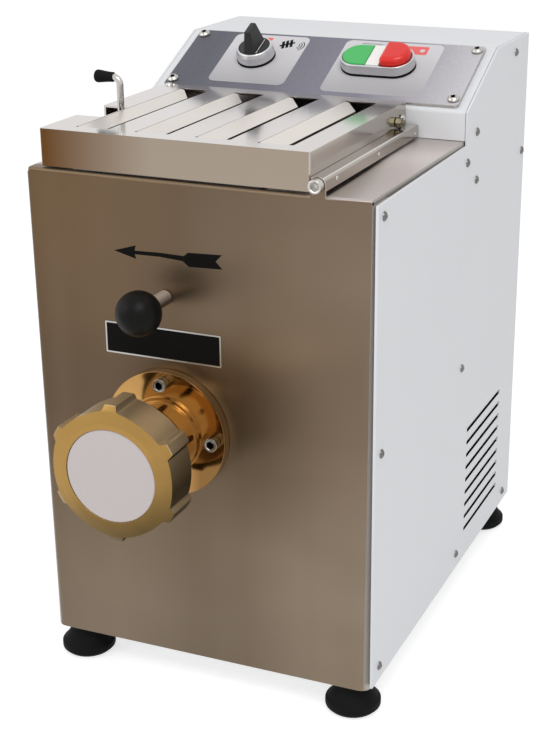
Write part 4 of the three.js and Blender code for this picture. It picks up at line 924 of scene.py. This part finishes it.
# %% Lever
BEND, ROD, GRIP_Z, HANDLE = 5, 2.5, 430.5, 10.8
clear_selection()
bpy.ops.mesh.primitive_circle_add(vertices=32, radius=ROD * MM, fill_type="NGON",
                                  location=place(LEVER_X, LEVER_Y, LEVER_FOOT))
bpy.ops.object.transform_apply(location=True)
edit("SELECT")
extrude((0, 0, (GRIP_Z - BEND - LEVER_FOOT) * MM))
bpy.ops.mesh.spin(steps=12, angle=math.pi / 2, center=place(LEVER_X - BEND, LEVER_Y, GRIP_Z - BEND), axis=(0, 1, 0))
extrude((-HANDLE * MM, 0, 0))
leave_edit()
lever = tidy_normals(named("lever_bar"))
polish(soften(lever, 0.3), "shutter", "lever_rod")
grip_curve = eased([(3.5, 0), (3.7, -4), (4.7, -12.6), (4.0, -14.2), (0, -14.4)], 1.2, 4)
grip_profile = [(2.6, 0), *grip_curve, (0, -11.5), (2.6, -11.5), (2.6, 0)]
grip = turned("lever_rubber", grip_profile, place(LEVER_X - BEND, LEVER_Y, GRIP_Z), "X", 40)
dress(grip, black_rubber, "shutter", "black_rubber", "lever_grip")
polish(from_node("shutter_slab", "shutter_plate"), "shutter", "shutter_plate")

# %% Feet
foot_profile = eased([(0, 0), (17, 0), (20.3, 3.2), (20.3, 8), (18.2, 9.6), (12.8, 17.6), (12, 19.6), (12, 24.2),
                      (0, 24.2)], 0.9)
for place_name in ("front_left", "front_right", "rear_left", "rear_right"):
    low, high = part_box(f"foot_{place_name}")
    centre = Vector(((low.x + high.x) / 2, (low.y + high.y) / 2, 0))
    dress(turned(f"rubber_{place_name}", foot_profile, centre, "Z", 64), black_rubber, "root", "black_rubber",
          f"foot_{place_name}")

# %% [markdown]
# ## Control slope
#
# The plate carries a printed grey overlay with two light fields. The selector and the double push button are
# standard 22 mm units: a gasket, a bezel and the moving part.

# %% Plate, overlay and its screws
# Heights above the slope: the plate's face, the film on it, the light fields, the marks and the dot on one mark
PLATE, FILM, FIELD, MARK, DOT = 2.3, 2.36, 2.40, 2.43, 2.46
PLATE_SPOTS = ((-115.5, 11), (-115.5, 74.5), (115.5, 11), (115.5, 74.5))
dress(from_node("control_slab", "control_plate", width=0.4), nickel_metal, "root", "control_face", "control_plate")


def printed(name, outline, material, low=FIELD, high=MARK):
    dress(lay(prism(name, outline, low, high)), material, "root", "control_face")


overlay = prism("overlay", round_outline(-120.6, 120.6, 3.4, 80.6, 2.8), PLATE, FILM)
for x, up in PLATE_SPOTS:
    cut_with(overlay, cylinder("hole", 4.7, 2, mm(x, up, PLATE), "Z", 40))
dress(lay(overlay), overlay_print, "root", "control_face")
printed("selector_field", round_outline(-87, -22.5, 12.5, 78.6, 5.5), field_print, FILM, FIELD)
printed("button_field", round_outline(8.5, 89, 9.6, 79, 5.5), field_print, FILM, FIELD)
screw_profile = eased([(0, -4.4), (2, -4.4), (2, 2.6), (4.6, 2.6), (4.3, 4.0), (2.8, 5.3), (0, 5.3)], 0.5)
plate_screw = turned("plate_bolt_1", screw_profile, ORIGIN, "Z", 40)
cut_with(plate_screw, cylinder("socket", 1.9, 4.4, mm(0, 0, 5.3), "Z", 6))
smooth_over(plate_screw)
plate_bolts = [plate_screw] + [again(plate_screw, f"plate_bolt_{number}") for number in (2, 3, 4)]
for number, (screw, (x, up)) in enumerate(zip(plate_bolts, PLATE_SPOTS), 1):
    polish(lay(screw, x, up), "root", f"plate_screw_{number}")
    # Painted shade in the socket.
    paint_where(screw, shade_paint, in_socket(on_slope(x, up), OUT_OF_SLOPE, 1.85, 0, 5.2))

# %% Print: a mark for the screw conveyor with its vibration arcs, and small marks beside the buttons
BARS = ((-42.6, 66.2), (-39.6, 67.6), (-36.6, 69))
ARC_MIDDLE, HALF_LINE = (-31.8, 66.4), 0.36
for number, (x, up) in enumerate(BARS, 1):
    bar = [(x - 2.2, up + 4.2), (x - 0.2, up + 5.6), (x + 2.4, up - 4.2), (x + 0.4, up - 5.6)]
    printed(f"mark_bar_{number}", bar, ink_print)
printed("mark_core", [(-45.4, 65.6), (-44.6, 63.6), (-33.4, 69.4), (-34.2, 71.4)], ink_print)
for number, radius in enumerate((3.2, 5.2, 7.2), 1):
    outer = arc(ARC_MIDDLE, radius + HALF_LINE, -58, 50, 14)
    inner = arc(ARC_MIDDLE, radius - HALF_LINE, 50, -58, 14)
    printed(f"mark_arc_{number}", outer + inner, ink_print)
start_outline = [(21.4, 72.6), (22.4, 74.6), (38.2, 74.6), (39.4, 72.6), (39.4, 74.4), (38.6, 75.6), (22, 75.6),
                 (21.4, 74.4)]
printed("start_mark", start_outline, grey_print)
printed("stop_mark", round_outline(59.5, 77.4, 64.6, 75.4, 1.4, 4), red_print)
printed("stop_mark_centre", arc((73, 70), 2.1, 0, 360, 24)[:-1], field_print, MARK, DOT)
printed("selector_mark", round_outline(-59.5, -54, 71, 75, 0.9, 3), red_print)

# %% Selector
BLADE_FOOT, BLADE_HEIGHT, BLADE_TAPER = 11.8, 18.1, (0.42, 0.64, 1)
gasket_profile = eased([(11.1, 2.6), (15.4, 2.6), (15.4, 3.8), (11.1, 3.8)], 0.3, closed=True)
gasket = turned("selector_seal", gasket_profile, ORIGIN, "Z", 64, ring=True)
dress(lay(gasket, *SELECTOR), black_rubber, "root", "black_rubber", "selector_gasket")
bezel_profile = [(4.4, -15), (10.8, -15), (10.8, 4.1), (15, 4.1), (14.9, 9.4), (13.9, 12.9), (13.0, 13.3),
                 (12.4, 12.9), (12.4, 10.5), (4.4, 10.5)]
bezel = turned("selector_collar", eased(bezel_profile, 0.5, closed=True), ORIGIN, "Z", 96, ring=True)
dress(lay(bezel, *SELECTOR), satin_collar, "root", "bright_steel", "selector_bezel")
disc_profile = eased([(0, -15), (4, -15), (4, 10.9), (12, 10.9), (12, 12.9), (0, 13.1)], 0.4)
disc = turned("selector_grip", disc_profile, ORIGIN, "Z", 72)
face_of([mm(x, y, BLADE_FOOT) for x, y in round_outline(-5.6, 5.6, -11, 11, 2.4, 5)])
extrude((0, 0, BLADE_HEIGHT * MM))
bpy.ops.transform.resize(value=BLADE_TAPER)
leave_edit()
fuse(disc, soften(tidy_normals(named("blade")), 1.3, 4, 50))
dress(lay(smooth_over(disc, 45), *SELECTOR), knob_plastic, "selector_body", "black_plastic", "selector_knob")
# Painted highlight: a thin white line where the blade flares into the disc.
blade_highlight = prism("selector_line", [(5.3, -9.4), (5.75, -9.4), (5.75, 9.6), (5.3, 9.6)], 12.9, 13.2)
dress(lay(blade_highlight, *SELECTOR), lens_plastic, "selector_body", "white_plastic")

# %% Double push button
seal = prism("button_seal", round_outline(-29.9, 29.9, -15.3, 15.3, 15.3, 14), 2.6, 3.8)
cut_with(seal, cylinder("hole", 11.1, 6, mm(0, 0, 3), "Z"))
dress(lay(soften(seal, 0.3), *BUTTONS), black_rubber, "root", "black_rubber", "button_gasket")
frame_ring = prism("button_collar", round_outline(-29.5, 29.5, -15, 15, 15, 16), 4.1, 12.1)
pocket = prism("pocket", round_outline(-27.7, 27.7, -13.2, 13.2, 13.2, 16), 5.7, 14)
cut_with(frame_ring, pocket)
fuse(frame_ring, cylinder("barrel", 10.8, 20.6, mm(0, 0, -4.7), "Z", 64))
dress(lay(soften(frame_ring, 0.55, 3), *BUTTONS), satin_collar, "root", "bright_steel", "button_bezel")
start_key = soften(prism("start_key", half_stadium(27.3, 12.8, -5.6), 9.6, 12.8), 0.8, 4)
dress(lay(start_key, *BUTTONS), green_plastic, "start_body", "green_plastic", "start_button")
stop_key = soften(prism("stop_key", half_stadium(27.3, 12.8, 5.6), 9.6, 18.4), 3.4, 7)
dress(lay(stop_key, *BUTTONS), red_plastic, "stop_body", "red_plastic", "stop_button")
window = prism("pilot_window", [(-5.2, -12.9), (5.2, -12.9), (5.2, 12.9), (-5.2, 12.9)], 6, 12.5)
dress(lay(soften(window, 0.4), *BUTTONS), lens_plastic, "root", "white_plastic", "pilot_lens")

# %% [markdown]
# ## Print and screws on the case
#
# The front sheet has a bare black plate with a bright border and an arrow for the way the paddle turns. Dome-headed
# screws hold the side panels.

# %% Plate and arrow
# Heights above the front sheet: the least gap, the border, the plate's black field and the arrow's paint
GAP, BORDER, BLACK_FIELD, PAINT = 0.02, 0.35, 0.42, 0.10
ARROW = [(-60.7, 329.4), (-43.9, 334.6), (-44.9, 330.8), (-26, 331.4), (-7.6, 331.1), (-4.5, 333.8), (20.6, 334.8),
         (16.0, 329.9), (20.7, 324.9), (-4.0, 324.0), (-8.6, 327.5), (-26, 328.6), (-44.9, 328.3), (-43.9, 325.1)]
for name, outline, low, high, material, slot_name in (
    ("name_border", round_outline(-70.5, 18.5, 254.8, 277.8, 0.8, 3), GAP, BORDER, nickel_metal, "bright_steel"),
    ("name_field", round_outline(-69.4, 17.4, 255.9, 276.7, 0.4, 2), BORDER, BLACK_FIELD, ink_print, "black_plastic"),
    ("turn_arrow", ARROW, GAP, PAINT, ink_print, "black_plastic"),
):
    dress(stand(prism(name, outline, low, high)), material, "root", slot_name)

# %% Panel screws
PANEL_SCREWS = ((316, 428.5), (214, 384.5), (346, 343.5), (192, 365.5), (216, 347.5), (12, 369.5), (195, 202.5),
                (13, 204.5), (333, 37.5), (196, 40.5), (15, 39))
half_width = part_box("right_side_panel")[1].x / MM
button_profile = eased([(0, 1.9), (1.6, 1.8), (2.9, 1.0), (3.3, 0), (3.3, -0.4), (0, -0.4)], 0.3)
button_screw = turned("panel_screw_r1", button_profile, ORIGIN, "X", 32)
cut_with(button_screw, cylinder("socket", 1.15, 1.8, mm(1.9, 0, 0), "X", 6))
smooth_over(button_screw)
for number, (y, z) in enumerate(PANEL_SCREWS, 1):
    for side, turn, x in (("r", 0, half_width), ("l", math.pi, -half_width)):
        copy = again(button_screw, f"panel_screw_{side}{number}")
        copy.rotation_euler.z = turn
        copy.location = place(x, y, z)
        dress(copy, dark_steel, "root", "bright_steel")
bpy.data.objects.remove(button_screw)

# %% [markdown]
# ## Inside the machine
#
# The lid and the shutter open the view into the tub, and a cut through the model shows the drive. These pieces are
# made round the same axes as the solids.

# %% Paddle
PEGS, FIRST_PEG, PEG_SPACING = 6, 31, 26
hub_profile = eased([(0, 36), (3.5, 36), (3.5, 15), (9, 15), (9, 177), (7, 177.4), (7, 228), (0, 228)], 0.7)
hub = turned("paddle_bar", hub_profile, KNOB, "Y", 48)
peg_profile = eased([(0, 0), (4, 0), (3, 60), (0, 60.04)], 1.6, 5)
pegs = []
for i in range(PEGS):
    peg = turned(f"peg_{i}", peg_profile, ORIGIN, "X", 32)
    peg.rotation_euler.y = i * math.pi / 3
    peg.location = place(KNOB_X, FIRST_PEG + PEG_SPACING * i, KNOB_Z)
    pegs.append(settle(peg))
polish(smooth_over(fuse(hub, *pegs)), "paddle_body", "paddle")

# %% Auger
AUGER_TIP, AUGER_END, LEAD, MARGIN = -55.3, 182, 40, 2
flight_section = [(8, -1.7), (17.9, -1.5), (18.3, -1.1), (18.3, 1.1), (17.9, 1.5), (8, 1.7)]
turns = (AUGER_END - AUGER_TIP - 2 * MARGIN) / LEAD
face_of([NOZZLE + mm(r, AUGER_TIP + MARGIN + a, 0) for r, a in flight_section])
leave_edit()
flight = take(named("auger_screw"))
bpy.context.scene.cursor.location = NOZZLE
bpy.ops.object.origin_set(type="ORIGIN_CURSOR")
apply_modifier(flight, "SCREW", axis="Y", angle=2 * math.pi * turns, screw_offset=turns * LEAD * MM,
               steps=int(36 * turns), render_steps=int(36 * turns), use_merge_vertices=False)
tidy_normals(flight)
core_profile = eased([(0, AUGER_TIP), (7, AUGER_TIP), (9, AUGER_TIP + 5), (9, 228), (0, 228)], 0.8)
core = turned("auger_core", core_profile, NOZZLE, "Y", 48)
take(flight)
core.select_set(True)
bpy.ops.object.join()
polish(smooth_over(flight), "auger_body", "auger")

# %% Gears, plates, contact blocks and switch
for part, node, material, body, slot_name, width in (
    ("gear_auger", "auger_gear", gear_metal, "auger_body", "gear_steel", 0.35),
    ("gear_paddle", "paddle_gear", gear_metal, "paddle_body", "gear_steel", 0.35),
    ("gear_pinion", "motor_pinion", gear_metal, "motor_rotor", "gear_steel", 0.3),
    ("plate_front", "gearbox_front_plate", alloy_metal, "root", "cast_aluminium", 0.8),
    ("plate_rear", "gearbox_rear_plate", alloy_metal, "root", "cast_aluminium", 0.8),
    ("block_selector", "selector_contact_block", black_plastic, "root", "black_plastic", 0.8),
    ("block_button", "button_contact_block", black_plastic, "root", "black_plastic", 0.8),
    ("switch_lid", "lid_switch", black_plastic, "root", "black_plastic", 0.6),
):
    dress(from_node(part, node, width=width), material, body, slot_name, node)

# %% Bushes
for part, node, centre, material, slot_name, profile in (
    ("bush_auger", "auger_bush", NOZZLE, bronze_metal, "bronze",
     [(9.4, 202), (14, 202), (14, 192.9), (9.4, 192.9)]),
    ("bush_paddle", "paddle_bush", KNOB, bronze_metal, "bronze",
     [(7.4, 202), (12, 202), (12, 193.7), (15, 193.7), (15, 192.3), (7.4, 192.3)]),
    ("bush_pin", "pin_bush", KNOB, bright_steel, "bright_steel",
     [(3.5, 12), (8, 12), (8, 9.7), (11, 9.7), (11, 8.3), (3.5, 8.3)]),
):
    bush = turned(part, eased(profile, 0.3, closed=True), centre, "Y", 48, ring=True)
    dress(bush, material, "root", slot_name, node)

# %% Motor, capacitor and cable gland
fins = [(44 if i % 2 == 0 else 42.6, 250 + 2.2 * i) for i in range(31)]
motor_profile = [(5.4, 222.3), (16, 222.3), (16, 228.3), (40, 228.3), (44, 246.3), *fins, (44, 318.3), (40, 336.3),
                 (0, 336.3), (0, 262.3), (5.4, 262.3)]
motor_profile = eased(motor_profile, 0.4, 2, closed=True)
motor = turned("motor_shell", motor_profile, axis_of("motor_body"), "Y", 72, ring=True)
dress(motor, alloy_metal, "root", "cast_aluminium", "motor_body")
can_profile = eased([(0, 246), (18, 246), (18, 330), (0, 330)], 2)
can = turned("capacitor_can", can_profile, axis_of("motor_capacitor"), "Y", 48)
dress(can, black_plastic, "root", "black_plastic", "motor_capacitor")
gland_x, gland_z = middle_of("cable_gland")
gland_profile = [(4, 343), (11, 343), (11, 360), (10.6, 366), (9.2, 370.5), (7.4, 373.4), (5, 374), (4, 373.6)]
gland_profile = eased(gland_profile, 0.8, closed=True)
gland = turned("cord_gland", gland_profile, axis_of("cable_gland"), "Y", 48, ring=True)
hex_middle = place(gland_x, 357.3, gland_z)
gland_hex = cut_with(cylinder("gland_hex", 13, 6, hex_middle, "Y", 6), cylinder("hole", 10.5, 10, hex_middle, "Y"))
dress(fuse(gland, soften(gland_hex, 0.6)), black_plastic, "root", "black_plastic", "cable_gland")

# %% [markdown]
# ## Floor and light
#
# A plain white sweep stands in for the studio. Rays that reach the viewer, straight or mirrored in the metal, find
# it white, while the machine's shadow still falls on it.

# %% Floor
FLOOR_SIZE = 12000
FLOOR_BOUNCE, FLOOR_SEEN, FLOOR_GLOW = (250, 250, 250), (0.5, 0.5, 0.5, 1.0), 0.69
DARK, WHITE = (0.0, 0.0, 0.0, 1.0), (1.0, 1.0, 1.0, 1.0)

clear_selection()
bpy.ops.mesh.primitive_plane_add(size=FLOOR_SIZE * MM, location=(0, 0, 0))
floor = named("floor")
floor_finish = Finish("white_floor", roughness=0.9)
seen = floor_finish.seen_by_viewer()
floor_finish.set("Base Color", floor_finish.blend(seen, FLOOR_BOUNCE, FLOOR_SEEN))
floor_finish.set("Emission Color", floor_finish.blend(seen, DARK, WHITE))
floor_finish.set("Emission Strength", FLOOR_GLOW)
floor_finish.set("Specular IOR Level", 0.0)
floor.data.materials.append(floor_finish.material)
print("floor", FLOOR_SIZE / 1000, "m wide")

# %% Sky and lamps
SKY_LIGHT = 0.62
LAMP_SIZE, LAMP_AIM = 900, place(0, 150, 200)
LAMPS = (("key_light", (600, -900, 1700), 15), ("fill_light", (-1100, -700, 900), 4))

world = bpy.data.worlds.new("studio")
bpy.context.scene.world = world
sky = Nodes(world, "Background")
sky.set("Strength", sky.node("ShaderNodeMapRange", **{"Value": sky.seen_by_viewer(), "To Min": SKY_LIGHT}))
sky.set("Color", WHITE)
for name, spot, power in LAMPS:
    lamp_data = bpy.data.lights.new(name, "AREA")
    lamp_data.size = LAMP_SIZE * MM
    lamp_data.energy = power
    lamp = added(name, lamp_data)
    lamp.location = place(*spot)
    lamp.rotation_euler = (LAMP_AIM - lamp.location).to_track_quat("-Z", "Y").to_euler()
print("lamps", len(LAMPS))

bpy.context.scene.view_settings.view_transform = "Standard"
